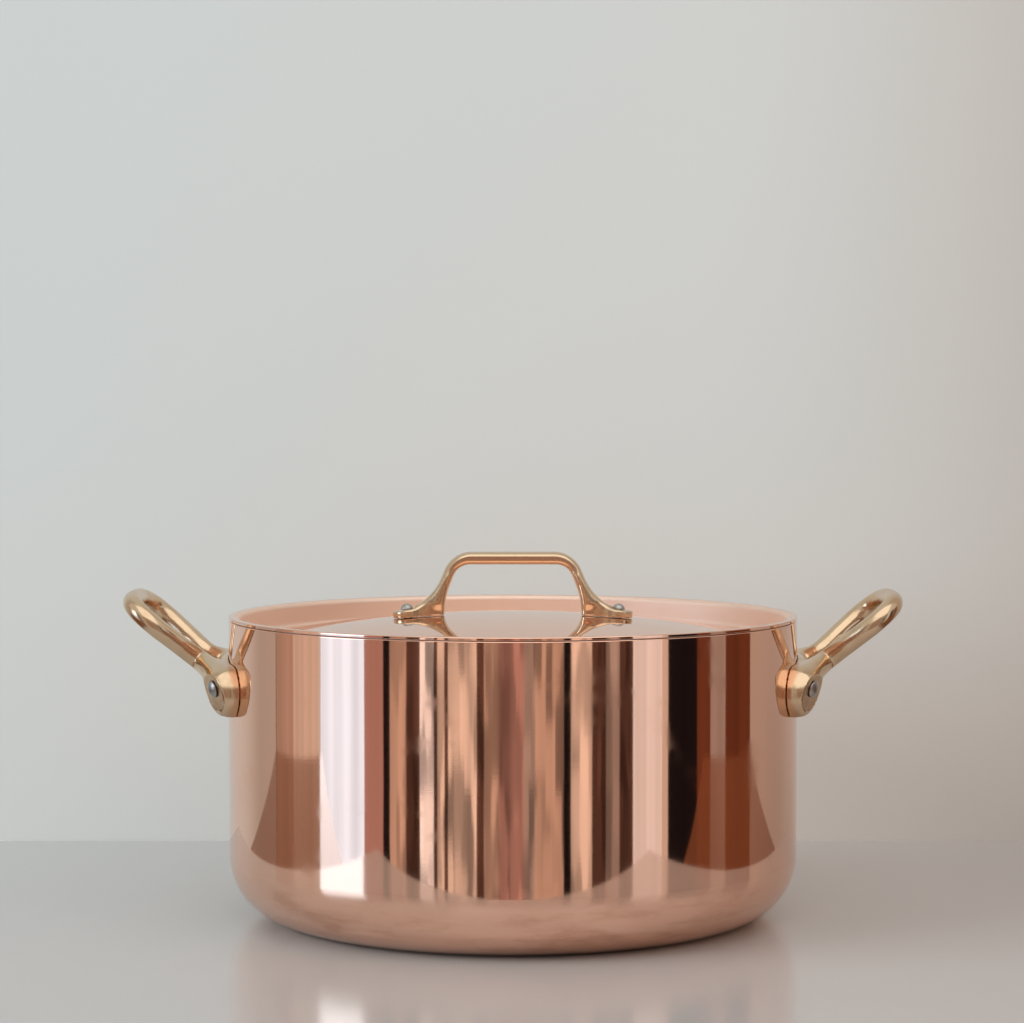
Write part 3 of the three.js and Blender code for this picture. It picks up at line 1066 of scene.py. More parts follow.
@dataclass(frozen=True)
class Rivet:
    """A rivet with a domed head on the casting and a flatter one inside.

    Attributes:
        shank: Radius of the shank.
        head: Radius of the outer head.
        head_height: Height of the outer head.
        inner_head: Radius of the inner head.
        inner_height: Height of the inner head.
        seat_gap: Room under a head.
        straight_edge: Straight edge under a dome.
        edge: Rounding of that edge.
        sides: Facets round the axis.
        dome_steps: Facets from a dome's edge to its top.
    """

    shank: float
    head: float
    head_height: float
    inner_head: float
    inner_height: float
    seat_gap: float = 0.3
    straight_edge: float = 0.4
    edge: float = 0.12
    sides: int = 48
    dome_steps: int = 12

    def head_profile(self, radius: float, height: float) -> list[Point]:
        """Profile of a head on zero, from its foot to the top of its dome.

        Args:
            radius: Radius of the head.
            height: Height of the head.

        Returns:
            Points from the foot to the axis.
        """
        rise = height - self.straight_edge
        sphere = (radius**2 + rise**2) / (2 * rise)
        half = math.degrees(math.asin((radius - self.edge) / sphere))
        dome = arc((0, height - sphere), sphere, 90 - half, 90, self.dome_steps)
        return [(radius - self.edge, 0.0), (radius, self.edge), (radius, self.straight_edge), *dome]

    def profile(self, seat: float, under: float) -> list[Point]:
        """Profile of the whole rivet.

        Args:
            seat: Height of the outer head's seat.
            under: Depth of the inner head's seat.

        Returns:
            Points from the inner head's middle to the outer head's.
        """
        foot = -under - self.seat_gap
        top = seat + self.seat_gap
        inner = [(r, foot - z) for r, z in self.head_profile(self.inner_head, self.inner_height)]
        outer = [(r, top + z) for r, z in self.head_profile(self.head, self.head_height)]
        return braced([*reversed(inner), (self.shank, foot), (self.shank, top), *outer])


@dataclass(frozen=True)
class PotBody:
    """The deep-drawn copper pot and the thin steel bonded inside it.

    Attributes:
        radius: Outside of the wall.
        height: Table to rim.
        base_corner: Outside radius between base and wall.
        copper: Thickness of the copper.
        lining: Thickness of the steel.
        bond_gap: Between copper and steel.
        rim_edge: Rounding of the rim's outer edge.
        sides: Facets round the pot.
        corner_steps: Facets of the base's corner.
        edge_steps: Facets of a rounded edge.
    """

    radius: float
    height: float
    base_corner: float = 26.0
    copper: float = 1.75
    lining: float = 0.2
    bond_gap: float = 0.05
    rim_edge: float = 0.5
    sides: int = 256
    corner_steps: int = 28
    edge_steps: int = 6

    @classmethod
    def from_frame(cls) -> "PotBody":
        """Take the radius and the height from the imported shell."""
        low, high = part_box("pot_shell")
        return cls(radius=(high.x - low.x) / 2 / MM, height=high.z / MM)

    @property
    def wall(self) -> float:
        """Copper and lining together."""
        return self.copper + self.bond_gap + self.lining

    def surface(self, depth: float) -> list[Point]:
        """The profile at a depth under the outside, from the axis to the foot of the wall."""
        centre = (self.radius - self.base_corner, self.base_corner)
        return [(0.0, depth), *arc(centre, self.base_corner - depth, -90, 0, self.corner_steps)]

    def build(self, finishes: Finishes) -> None:
        """Make the shell and the lining.

        Args:
            finishes: The materials.
        """
        rim_centre = (self.radius - self.rim_edge, self.height - self.rim_edge)
        rim = arc(rim_centre, self.rim_edge, 0, 90, self.edge_steps)
        inside = (self.radius - self.copper, self.height)
        shell = [*self.surface(0), *rim, inside, *reversed(self.surface(self.copper))]
        outer = self.copper + self.bond_gap
        lip = [(self.radius - outer, self.height), (self.radius - self.wall, self.height)]
        lining = [*self.surface(outer), *lip, *reversed(self.surface(self.wall))]
        layers = (("pot_shell", shell, Slot.COPPER), ("pot_lining", lining, Slot.LINING))
        for node, profile, slot in layers:
            points, faces = turn(braced(profile), self.sides)
            finishes.dress(node, smooth_mesh(node, points, faces), Body.POT, slot)


@dataclass(frozen=True)
class SideHandle:
    """The cast side handle, made twice: a bent bar, a web along the wall, two bosses and their rivets.

    Attributes:
        pot: The pot that carries it.
        rivet_drop: Rim to the rivets.
        rivet_half_spacing: Middle of the handle to a rivet's axis, on the wall.
        rivet_splay: Degrees between a rivet's axis and the middle of the handle.
        boss_radius: Radius of a boss.
        boss_height: Wall to a rivet's seat.
        boss_middle: Wall to a boss's middle.
        boss_depth: That middle to the top of its round form, above the seat.
        boss_drop: How far a boss's middle lies under its rivet.
        boss_bulge: 2 makes a boss an ellipsoid, more makes it squarer.
        boss_edge: Rounding of a boss's edge.
        flat_radius: Flat milled round a rivet.
        flat_tilt: Degrees that the flat looks down.
        flat_turn: Degrees that the flat looks further from the handle's middle than its rivet does.
        loop_slope: Degrees that the loop rises above the horizon.
        loop_rise: Rivets to where the loop's plane meets the wall.
        loop_reach: Up the slope to the middle of the grip.
        loop_end: Length of the rounded end.
        loop_squareness: 2 makes that end an ellipse, more makes it squarer.
        loop_end_angles: Degrees round half of that end at which the bar's path is fixed.
        loop_half_width: Middle of the loop to a leg, at its widest.
        root_reach: Up the slope to where a leg turns to its boss.
        root_half_width: Middle of the loop to a leg, at its root.
        bar_radius: Radius of the bar.
        root_radius: Radius of the bar at its root.
        root_lift: How far above its rivet a leg runs into a boss.
        web_top: Height of the web above the rivets, in the middle.
        web_height: Height of the web.
        web_depth: Wall to the web's face.
        web_fall: How far the web drops towards the bosses.
        seat_gap: Room between casting and wall.
        fillet: Reach of the fillets in the casting.
        edge: Broken edges of milled and fitted faces.
        span_steps: Steps of the bar's path between two fixed places.
        cell: Size of the mesh's faces.
        rivet: The rivets.
    """

    pot: PotBody
    rivet_drop: float = 26.4
    rivet_half_spacing: float = 35.0
    rivet_splay: float = 25.0
    boss_radius: float = 9.4
    boss_height: float = 9.1
    boss_middle: float = 1.5
    boss_depth: float = 11.0
    boss_drop: float = 2.2
    boss_bulge: float = 2.1
    boss_edge: float = 1.6
    flat_radius: float = 9.0
    flat_tilt: float = 14.0
    flat_turn: float = 6.0
    loop_slope: float = 40.2
    loop_rise: float = 0.5
    loop_reach: float = 52.2
    loop_end: float = 14.0
    loop_squareness: float = 3.0
    loop_end_angles: tuple[float, ...] = (0, 20, 45, 70)
    loop_half_width: float = 25.0
    root_reach: float = 14.5
    root_half_width: float = 17.0
    bar_radius: float = 4.1
    root_radius: float = 4.2
    root_lift: float = 2.3
    web_top: float = 11.3
    web_height: float = 12.0
    web_depth: float = 6.0
    web_fall: float = 6.0
    seat_gap: float = 0.12
    fillet: float = 11.0
    edge: float = 0.4
    span_steps: int = 12
    cell: float = 0.6
    quick_cell: float = 1.2
    rivet: Rivet = Rivet(shank=2.5, head=3.6, head_height=1.7, inner_head=5.0, inner_height=1.4)

    @property
    def rivet_z(self) -> float:
        """Height of the rivets."""
        return self.pot.height - self.rivet_drop

    def boss(self, side: int) -> RoundBoss:
        """A boss of the handle at +X.

        Args:
            side: The sign of Y of the boss.

        Returns:
            The boss.
        """
        on_wall = math.sqrt(self.pot.radius**2 - self.rivet_half_spacing**2)
        splay = math.radians(self.rivet_splay)
        tilt = math.radians(self.flat_tilt)
        turned = splay + math.radians(self.flat_turn)
        out = np.array([math.cos(splay), side * math.sin(splay), 0.0])
        level = np.array([math.cos(turned), side * math.sin(turned), 0.0])
        return RoundBoss(
            start=np.array([on_wall, side * self.rivet_half_spacing, self.rivet_z]),
            direction=out,
            face=level * math.cos(tilt) - np.array([0, 0, math.sin(tilt)]),
            radius=self.boss_radius,
            height=self.boss_height,
            middle=self.boss_middle,
            depth=self.boss_depth,
            drop=self.boss_drop,
            bulge=self.boss_bulge,
            edge=self.boss_edge,
            flat=self.flat_radius,
        )

    def on_slope(self, reach: float, across: float) -> np.ndarray:
        """A point in the plane of the loop.

        Args:
            reach: How far up the slope, from the wall.
            across: The point's Y.

        Returns:
            The point.
        """
        slope = math.radians(self.loop_slope)
        out = self.pot.radius + reach * math.cos(slope)
        return np.array([out, across, self.rivet_z + self.loop_rise + reach * math.sin(slope)])

    def half_stations(self) -> np.ndarray:
        """Fixed places on half of the bar, from its boss to the rounded end of the loop.

        Returns:
            Rows of a place and the bar's radius there.
        """
        boss = self.boss(1)
        in_boss = boss.start + boss.direction * self.boss_height / 2
        in_boss = in_boss + np.array([0, 0, self.root_lift])
        root = self.on_slope(self.root_reach, self.root_half_width)
        elbow = (in_boss + root) / 2 + np.array([0, 0, self.loop_rise / 2])
        shoulder = self.loop_reach - self.loop_end
        middle_width = (self.root_half_width + self.loop_half_width) / 2
        leg = self.on_slope((self.root_reach + shoulder) / 2, middle_width)
        power = 2 / self.loop_squareness
        end = [
            self.on_slope(
                shoulder + self.loop_end * math.sin(angle) ** power,
                self.loop_half_width * math.cos(angle) ** power,
            )
            for angle in np.radians(self.loop_end_angles)
        ]
        rooted = [(*in_boss, self.bar_radius), (*elbow, self.root_radius), (*root, self.root_radius)]
        return np.array([*rooted, *((*p, self.bar_radius) for p in (leg, *end))])

    @cached_property
    def path(self) -> np.ndarray:
        """Half of the bar's path, from a boss to the middle of the grip.

        Returns:
            Rows of a place and the bar's radius there.
        """
        half = self.half_stations()
        middle = np.array([[*self.on_slope(self.loop_reach, 0), self.bar_radius]])
        other = half[::-1] * np.array([1, -1, 1, 1])
        whole = spline(np.vstack([half, middle, other]), self.span_steps)
        return whole[: len(whole) // 2 + 1]

    def web(self, points: np.ndarray) -> np.ndarray:
        """Measure the web, an oval section bent round the pot.

        Args:
            points: Where to measure.

        Returns:
            Distances to the web, negative inside.
        """
        angle = np.arctan2(points[:, 1], points[:, 0])
        reach = math.asin(self.rivet_half_spacing / self.pot.radius)
        highest = self.rivet_z + self.web_top - self.web_height / 2
        middle = highest - self.web_fall * (angle / reach) ** 2
        out = (np.hypot(points[:, 0], points[:, 1]) - self.pot.radius) / self.web_depth
        up = (points[:, 2] - middle) / (self.web_height / 2)
        oval = (np.hypot(out, up) - 1) * min(self.web_depth, self.web_height / 2)
        return np.maximum(oval, (angle - reach) * self.pot.radius)

    def form(self, points: np.ndarray) -> np.ndarray:
        """Measure the casting at +X.

        Args:
            points: Where to measure.

        Returns:
            Distances to the casting, negative inside.
        """
        half = points.copy()
        half[:, 1] = np.abs(half[:, 1])
        boss = self.boss(1)
        solid = joined(bar_distance(half, self.path), self.web(half), self.fillet)
        solid = joined(solid, boss.distance(half), self.fillet)
        solid = cut(solid, boss.cutter(half), self.edge)
        wall = np.hypot(half[:, 0], half[:, 1]) - self.pot.radius - self.seat_gap
        return cut(solid, wall, self.edge)

    def cast_mesh(self) -> bpy.types.Mesh:
        """Make the casting at +X.

        Returns:
            Its mesh.
        """
        tip = self.on_slope(self.loop_reach, 0) + self.bar_radius + CASTING_ROOM
        boss = self.boss(1)
        seat_y = boss.start[1] + boss.direction[1] * self.boss_height
        across = seat_y + self.boss_radius + CASTING_ROOM
        under = self.rivet_z - self.boss_drop - self.boss_radius - CASTING_ROOM
        low = (boss.start[0] - self.boss_radius, -across, under)
        high = (tip[0], across, tip[2])
        cell = self.cell
        return casting("side_handle", self.form, low, high, cell)

    def rivet_mesh(self, name: str, side: int, angle: float) -> bpy.types.Mesh:
        """A rivet: its shank follows the boss, and its heads lie square to the flat and to the wall.

        Args:
            name: The mesh's name.
            side: The sign of Y of its boss, on the handle at +X.
            angle: Turn about Z to the handle's place.

        Returns:
            The mesh.
        """
        boss = self.boss(side)
        inside = self.pot.radius - self.pot.wall
        along = boss.start @ boss.direction
        depth = along - math.sqrt(along**2 - self.pot.radius**2 + inside**2)
        exit_point = boss.start - depth * boss.direction
        points, faces = turn(self.rivet.profile(self.boss_height, depth), self.rivet.sides)
        placed = aimed(points, boss.start, boss.direction)
        level = exit_point * np.array([1, 1, 0])
        wall_normal = level / np.linalg.norm(level)
        half_gap = self.rivet.seat_gap / 2
        for chosen, pivot, normal in (
            (points[:, 2] > self.boss_height + half_gap, boss.seat, boss.face),
            (points[:, 2] < -depth - half_gap, exit_point, wall_normal),
        ):
            tip = Vector(boss.direction).rotation_difference(Vector(normal)).to_matrix()
            placed[chosen] = (placed[chosen] - pivot) @ np.array(tip).T + pivot
        return smooth_mesh(name, turned_about_z(placed, angle), faces)

    def build(self, finishes: Finishes) -> None:
        """Make both handles with their rivets.

        Args:
            finishes: The materials.
        """
        cast = self.cast_mesh()
        for place in Side:
            handle = cast.copy()
            handle.transform(Matrix.Rotation(place.value, 4, "Z"))
            finishes.dress(f"{place.label}_handle", handle, Body.POT, Slot.BRONZE)
            for side in (1, -1):
                row = "back" if side * math.cos(place.value) > 0 else "front"
                node = f"{place.label}_handle_rivet_{row}"
                finishes.dress(node, self.rivet_mesh(node, side, place.value), Body.POT, Slot.RIVET)
        bpy.data.meshes.remove(cast)


@dataclass(frozen=True)
class Lid:
    """The lid: a domed disc, a step that goes down into the mouth, and a flange that rests on the rim.

    Attributes:
        pot: The pot that carries it.
        copper: Thickness of the copper.
        mouth_gap: Between the step and the pot's lining.
        seat_on_rim: Between the flange and the rim.
        flange_edge: Rounding of the flange's outer edge.
        flange_bend: Radius under the flange, where it turns down.
        step_wall: Straight part of the step.
        step_fillet: Radius between the step and the dome, on top.
        dome_radius: Radius of the dome.
        dome_steps: Facets from the dome's top to the step.
        fillet_steps: Facets of the fillet between dome and step.
        bend_steps: Facets of the flange's bend.
    """

    pot: PotBody
    copper: float = 1.25
    mouth_gap: float = 1.0
    seat_on_rim: float = 0.1
    flange_edge: float = 0.5
    flange_bend: float = 0.7
    step_wall: float = 6.1
    step_fillet: float = 2.4
    dome_radius: float = 590.0
    dome_steps: int = 40
    fillet_steps: int = 12
    bend_steps: int = 10

    @property
    def thickness(self) -> float:
        """Copper and lining together."""
        return self.copper + self.pot.bond_gap + self.pot.lining

    @property
    def flange_top(self) -> float:
        """Height of the flange's upper face."""
        return self.pot.height + self.seat_on_rim + self.thickness

    @cached_property
    def middle(self) -> float:
        """Height of the dome's top."""
        return self.surface(0)[0][1]

    def surface(self, depth: float) -> list[Point]:
        """The profile at a depth under the top.

        Args:
            depth: How far under the upper face.

        Returns:
            Points from the axis to the flat of the flange.
        """
        step = self.pot.radius - self.pot.wall - self.mouth_gap - self.thickness
        bend = self.flange_bend + self.thickness
        fillet = (step - self.step_fillet, self.flange_top - bend - self.step_wall)
        lean = math.degrees(math.asin(fillet[0] / (self.dome_radius + self.step_fillet)))
        dome_z = fillet[1] - (self.dome_radius + self.step_fillet) * math.cos(math.radians(lean))
        return [
            *arc((0, dome_z), self.dome_radius - depth, 90, 90 - lean, self.dome_steps),
            *arc(fillet, self.step_fillet + depth, -90 - lean, 0, self.fillet_steps)[1:],
            *arc((step + bend, self.flange_top - bend), bend - depth, 180, 90, self.bend_steps),
        ]

    def build(self, finishes: Finishes) -> None:
        """Make the shell and the lining.

        Args:
            finishes: The materials.
        """
        edge = self.pot.radius - self.flange_edge
        edge_centre = (edge, self.flange_top - self.flange_edge)
        flange = [
            (self.pot.radius, self.flange_top - self.copper),
            *arc(edge_centre, self.flange_edge, 0, 90, self.pot.edge_steps),
        ]
        shell = [*self.surface(self.copper), *flange, *reversed(self.surface(0))]
        top = self.copper + self.pot.bond_gap
        lip = [(edge, self.flange_top - self.thickness), (edge, self.flange_top - top)]
        lining = [*self.surface(self.thickness), *lip, *reversed(self.surface(top))]
        layers = (("lid_shell", shell, Slot.COPPER), ("lid_lining", lining, Slot.LINING))
        for node, profile, slot in layers:
            points, faces = turn(braced(profile), self.pot.sides)
            finishes.dress(node, smooth_mesh(node, points, faces), Body.LID, slot)


@dataclass(frozen=True)
class LidHandle:
    """The lid's handle: a flat bar bent to an arch, on two feet that run out to riveted pads.

    Attributes:
        lid: The lid that carries it.
        arch_height: Middle of the lid to the top of the arch.
        arch_thickness: Thickness of the bar.
        arch_depth: Depth of the bar, front to back.
        arch_top_half: Half of the straight top.
        arch_bend: Radius of the corners, in the middle of the bar.
        leg_lean: Degrees that a leg leans from upright.
        leg_thickness: Thickness of a leg.
        squareness: 2 makes the bar's section an ellipse, more makes it squarer.
        foot_rise: Height at which a foot leaves its leg.
        foot_inner: Middle of the lid to the inner face of a foot.
        foot_fill: How much fuller a foot is than one that runs flat into its pad.
        pad_reach: Middle of the lid to a rivet.
        pad_radius: Radius of a pad.
        pad_height: Lid to a rivet's seat.
        pad_bulge: 2 makes a pad an ellipsoid, more makes it squarer.
        pad_edge: Rounding of a pad's edge.
        seat_gap: Room between casting and lid.
        fillet: Reach of the fillets in the casting.
        edge: Broken edges of milled and fitted faces.
        bend_steps: Steps of the arch's path round a corner.
        foot_steps: Points along the upper edge of a foot.
        cell: Size of the mesh's faces.
        rivet: The rivets.
    """

    lid: Lid
    arch_height: float = 26.2
    arch_thickness: float = 5.4
    arch_depth: float = 9.0
    arch_top_half: float = 17.8
    arch_bend: float = 10.0
    leg_lean: float = 22.0
    leg_thickness: float = 4.4
    squareness: float = 2.4
    foot_rise: float = 15.0
    foot_inner: float = 29.0
    foot_fill: float = 2.2
    pad_reach: float = 44.6
    pad_radius: float = 6.1
    pad_height: float = 3.2
    pad_bulge: float = 6.0
    pad_edge: float = 1.4
    seat_gap: float = 0.3
    fillet: float = 4.0
    edge: float = 0.4
    bend_steps: int = 24
    foot_steps: int = 40
    cell: float = 0.5
    quick_cell: float = 1.0
    rivet: Rivet = Rivet(shank=1.7, head=2.6, head_height=2.4, inner_head=4.5, inner_height=1.2)

    @property
    def bar_z(self) -> float:
        """Height of the middle of the arch's straight top."""
        return self.lid.middle + self.arch_height - self.arch_thickness / 2

    def leg_reach(self, height: np.ndarray | float) -> np.ndarray | float:
        """Place on a leg's centre line.

        Args:
            height: The height or heights at which to measure.

        Returns:
            How far out from the middle of the lid the line is there.
        """
        turned = math.radians(90 - self.leg_lean)
        bend_x = self.arch_top_half + self.arch_bend * math.sin(turned)
        bend_z = self.bar_z - self.arch_bend * (1 - math.cos(turned))
        return bend_x + (bend_z - height) * math.tan(math.radians(self.leg_lean))

    def pad(self, end: int) -> RoundBoss:
        """A pad, square to the dome.

        Args:
            end: The sign of X of the pad.

        Returns:
            The pad.
        """
        rise = math.sqrt(self.lid.dome_radius**2 - self.pad_reach**2)
        out = np.array([end * self.pad_reach, 0.0, rise])
        return RoundBoss(
            start=out + np.array([0, 0, self.lid.middle - self.lid.dome_radius]),
            direction=out / self.lid.dome_radius,
            face=out / self.lid.dome_radius,
            radius=self.pad_radius,
            height=self.pad_height,
            middle=0.0,
            depth=2 * self.pad_height,
            drop=0.0,
            bulge=self.pad_bulge,
            edge=self.pad_edge,
            flat=self.pad_radius - self.pad_edge,
        )

    @cached_property
    def path(self) -> np.ndarray:
        """Half of the arch's centre line, from the middle of the top into a foot.

        Returns:
            Rows of X, Z and half of the bar's thickness there.
        """
        end = self.lid.middle + self.foot_rise / 3
        centre = (self.arch_top_half, self.bar_z - self.arch_bend)
        bend = np.array(arc(centre, self.arch_bend, 90, self.leg_lean, self.bend_steps))
        thinned = np.linspace(self.arch_thickness, self.leg_thickness, len(bend)) / 2
        top = (0.0, self.bar_z, self.arch_thickness / 2)
        in_foot = (self.leg_reach(end), end, self.leg_thickness / 2)
        return np.vstack([top, np.column_stack([bend, thinned]), in_foot])

    @cached_property
    def foot_line(self) -> np.ndarray:
        """The hollow upper edge of a foot, from its leg to its pad.

        Returns:
            Rows of X, height and slope.
        """
        pad_z = self.pad(1).start[2]
        leg_z = self.lid.middle + self.foot_rise
        pad_top = pad_z + self.pad_height
        start = np.array([self.leg_reach(leg_z), leg_z])
        hollow = np.array([self.leg_reach(pad_z) + self.pad_height, pad_top + self.foot_fill])
        end = np.array([self.pad_reach, pad_top])
        t = np.linspace(0, 1, self.foot_steps)[:, None]
        line = (1 - t) ** 2 * start + 2 * t * (1 - t) * hollow + t**2 * end
        return np.column_stack([line, np.gradient(line[:, 1], line[:, 0])])

    def foot(self, points: np.ndarray) -> np.ndarray:
        """Measure a foot, which fills the corner between its leg and its pad.

        Args:
            points: Where to measure.

        Returns:
            Distances to the foot, negative inside.
        """
        x, y, z = points.T
        top = np.interp(x, self.foot_line[:, 0], self.foot_line[:, 1])
        slope = np.interp(x, self.foot_line[:, 0], self.foot_line[:, 2])
        over = (z - top) / np.sqrt(1 + slope**2)
        inside = np.minimum(self.leg_reach(z), self.foot_inner)
        ends = np.maximum(x - self.pad_reach, inside - x)
        sides = y - self.arch_depth / 2
        return -joined(-np.maximum(over, ends), -sides, self.fillet)

    def form(self, points: np.ndarray) -> np.ndarray:
        """Measure the casting.

        Args:
            points: Where to measure.

        Returns:
            Distances to the casting, negative inside.
        """
        quarter = points.copy()
        quarter[:, :2] = np.abs(quarter[:, :2])
        flat = bar_distance(quarter[:, [0, 2]], self.path)
        away = np.maximum(flat / (self.leg_thickness / 2) + 1, 0)
        deep = quarter[:, 1] / (self.arch_depth / 2)
        section = (away**self.squareness + deep**self.squareness) ** (1 / self.squareness)
        arch = (section - 1) * self.leg_thickness / 2
        pad = self.pad(1)
        solid = joined(arch, self.foot(quarter), self.fillet)
        solid = joined(solid, pad.distance(quarter), self.fillet)
        solid = cut(solid, pad.cutter(quarter), self.edge)
        centre = np.array([0, 0, self.lid.middle - self.lid.dome_radius])
        dome = np.linalg.norm(points - centre, axis=1) - self.lid.dome_radius - self.seat_gap
        return cut(solid, dome, self.edge)

    def build(self, finishes: Finishes) -> None:
        """Make the casting and its rivets.

        Args:
            finishes: The materials.
        """
        across = self.pad_reach + self.pad_radius + CASTING_ROOM
        deep = self.pad_radius + CASTING_ROOM
        low = (-across, -deep, self.pad(1).start[2] - CASTING_ROOM)
        high = (across, deep, self.lid.middle + self.arch_height + CASTING_ROOM)
        cell = self.cell
        arch = casting("lid_handle", self.form, low, high, cell)
        finishes.dress("lid_handle", arch, Body.LID, Slot.BRONZE)
        rivet = self.rivet.profile(self.pad_height, self.lid.thickness)
        points, faces = turn(rivet, self.rivet.sides)
        for label, end in (("right", 1), ("left", -1)):
            pad = self.pad(end)
            node = f"lid_rivet_{label}"
            placed = aimed(points, pad.start, pad.direction)
            finishes.dress(node, smooth_mesh(node, placed, faces), Body.LID, Slot.RIVET)


@dataclass(frozen=True)
class Panel:
    """An upright panel of the room that the polished metal mirrors.

    Attributes:
        end: Degrees round to the right, from the camera's side, where it ends and the next starts.
        colour: What it shines with.
    """

    end: float
    colour: Colour


PALE: Colour = (0.62, 0.61, 0.59)
WHITE: Colour = (0.88, 0.88, 0.90)
BRIGHT: Colour = (1.0, 1.40, 1.90)
CREAM: Colour = (0.62, 0.53, 0.46)
TAN: Colour = (0.42, 0.31, 0.25)
ROSE: Colour = (0.40, 0.24, 0.21)
GREY: Colour = (0.34, 0.28, 0.25)
BROWN: Colour = (0.13, 0.042, 0.020)
UMBER: Colour = (0.085, 0.045, 0.034)
DARK: Colour = (0.011, 0.008, 0.009)


@dataclass(frozen=True)
class Room:
    """What lies round the set: plain soft light, and upright panels for the metal to mirror.

    Attributes:
        light: Strength of the plain light.
        backdrop: What the camera sees past the set.
        ceiling: What the metal mirrors overhead.
        ceiling_span: Sines of the heights between which the ceiling takes over.
        window: What the metal mirrors where the window is.
        window_sides: Degrees round to the window's two sides.
        window_top: Sine of the height where the window ends.
        folds: Soft folds in the panels, over a full turn and over the height.
        fold_detail: Number of finer layers in the folds.
        fold_dark: Shade of a panel in the deepest fold.
        fold_light: How much lighter it gets towards the highest crest.
        blocks: Blocks in the middle panels, over a full turn and over the height.
        block_light: How much the lightest block differs from the darkest.
        block_dark: How much the darkest block takes away.
        block_start: Shares of a turn, from behind over the left, between which the blocks begin.
        block_end: Shares of a turn between which they end.
        panels: The panels, from behind on the left round to behind on the right.
    """

    light: float = 0.42
    backdrop: Colour = (0.62, 0.62, 0.60)
    ceiling: Colour = (0.66, 0.65, 0.63)
    ceiling_span: Span = (0.30, 0.42)
    window: Colour = (2.8, 3.9, 5.0)
    window_sides: Span = (-82.0, -61.0)
    window_top: float = 0.30
    folds: tuple[float, float] = (60.0, 1.2)
    fold_detail: float = 3.0
    fold_dark: float = 0.45
    fold_light: float = 1.1
    blocks: tuple[float, float] = (100.0, 40.0)
    block_light: float = 1.2
    block_dark: float = 0.65
    block_start: Span = (0.355, 0.357)
    block_end: Span = (0.628, 0.630)
    panels: tuple[Panel, ...] = (
        Panel(-110, PALE),
        Panel(-108.5, UMBER),
        Panel(-98, TAN),
        Panel(-84, CREAM),
        Panel(-82, PALE),
        Panel(-61, BRIGHT),
        Panel(-53, ROSE),
        Panel(-50.5, DARK),
        Panel(-43, TAN),
        Panel(-37, UMBER),
        Panel(-32, WHITE),
        Panel(-30.5, UMBER),
        Panel(-27.5, CREAM),
        Panel(-26, UMBER),
        Panel(-14.5, CREAM),
        Panel(-11.7, UMBER),
        Panel(-7, TAN),
        Panel(4, ROSE),
        Panel(8.4, GREY),
        Panel(18.8, TAN),
        Panel(22, DARK),
        Panel(30, CREAM),
        Panel(36, UMBER),
        Panel(41.5, GREY),
        Panel(46.5, UMBER),
        Panel(59.5, WHITE),
        Panel(62.5, CREAM),
        Panel(77, DARK),
        Panel(84, BROWN),
        Panel(92, GREY),
        Panel(108.5, BROWN),
        Panel(180, PALE),
    )

    @staticmethod
    def share_of_turn(degrees: float) -> float:
        """Degrees round from the camera's side as a share of a turn, which starts behind the pot."""
        return degrees / FULL_TURN + 0.5

    def stops(self) -> list[tuple[float, Colour]]:
        """The panels as a ramp's stops over a full turn."""
        starts = [-FULL_TURN / 2, *(panel.end for panel in self.panels)]
        return [(self.share_of_turn(start), panel.colour) for start, panel in zip(starts, self.panels)]

    def mirrored(self, graph: Graph) -> Wire:
        """What the metal mirrors.

        Args:
            graph: The world's nodes.

        Returns:
            The colour in each direction.
        """
        direction = graph.node("ShaderNodeTexCoord", output="Generated")
        axes = graph.node("ShaderNodeSeparateXYZ", {}, {0: direction})
        x, y, z = axes.out("X"), axes.out("Y"), axes.out("Z")
        around = x.math("ARCTAN2", x, 0.0 - y) / (2 * math.pi) + 0.5
        panels = graph.node("ShaderNodeValToRGB", {"stops": self.stops()}, {0: around})

        def spread(counts: tuple[float, float]) -> Wire:
            """Coordinates with so many units over a full turn and over the height."""
            return graph.node("ShaderNodeCombineXYZ", {}, {0: around * counts[0], 1: z * counts[1]})

        fold_inputs = {"Vector": spread(self.folds), "Scale": 1.0, "Detail": self.fold_detail}
        folds = graph.node("ShaderNodeTexNoise", {}, fold_inputs)
        block_inputs = {"Vector": spread(self.blocks), "Scale": 1.0}
        blocks = graph.node("ShaderNodeTexVoronoi", {"distance": "CHEBYCHEV"}, block_inputs, "Color")
        block = graph.node("ShaderNodeSeparateColor", {}, {0: blocks})
        middle = around.fade(*self.block_start) * (1.0 - around.fade(*self.block_end))
        patched = 1.0 + middle * (self.block_light * block - self.block_dark)
        shade = (self.fold_dark + self.fold_light * folds) * patched
        grey = graph.node("ShaderNodeCombineColor", {}, {0: shade, 1: shade, 2: shade})
        walls = graph.mix(1.0, panels, grey, "MULTIPLY")
        left, right = (self.share_of_turn(side) for side in self.window_sides)
        window = (around > left) * (around < right) * (z > 0.0) * (z < self.window_top)
        lit = graph.mix(window, walls, self.window)
        return graph.mix(z.fade(*self.ceiling_span), lit, self.ceiling)

    def build(self) -> None:
        """Make the world."""
        world = bpy.data.worlds.new("room")
        world.use_nodes = True
        bpy.context.scene.world = world
        graph = Graph(world.node_tree)
        path = graph.node("ShaderNodeLightPath")
        plain = graph.mix(path.out("Is Camera Ray"), (self.light,) * 3, self.backdrop)
        colour = graph.mix(path.out("Is Glossy Ray"), plain, self.mirrored(graph))
        shader = graph.node("ShaderNodeBackground", {}, {"Color": colour, "Strength": 1.0})
        graph.node("ShaderNodeOutputWorld", {}, {"Surface": shader})
        log.info("room: %d panels", len(self.panels))


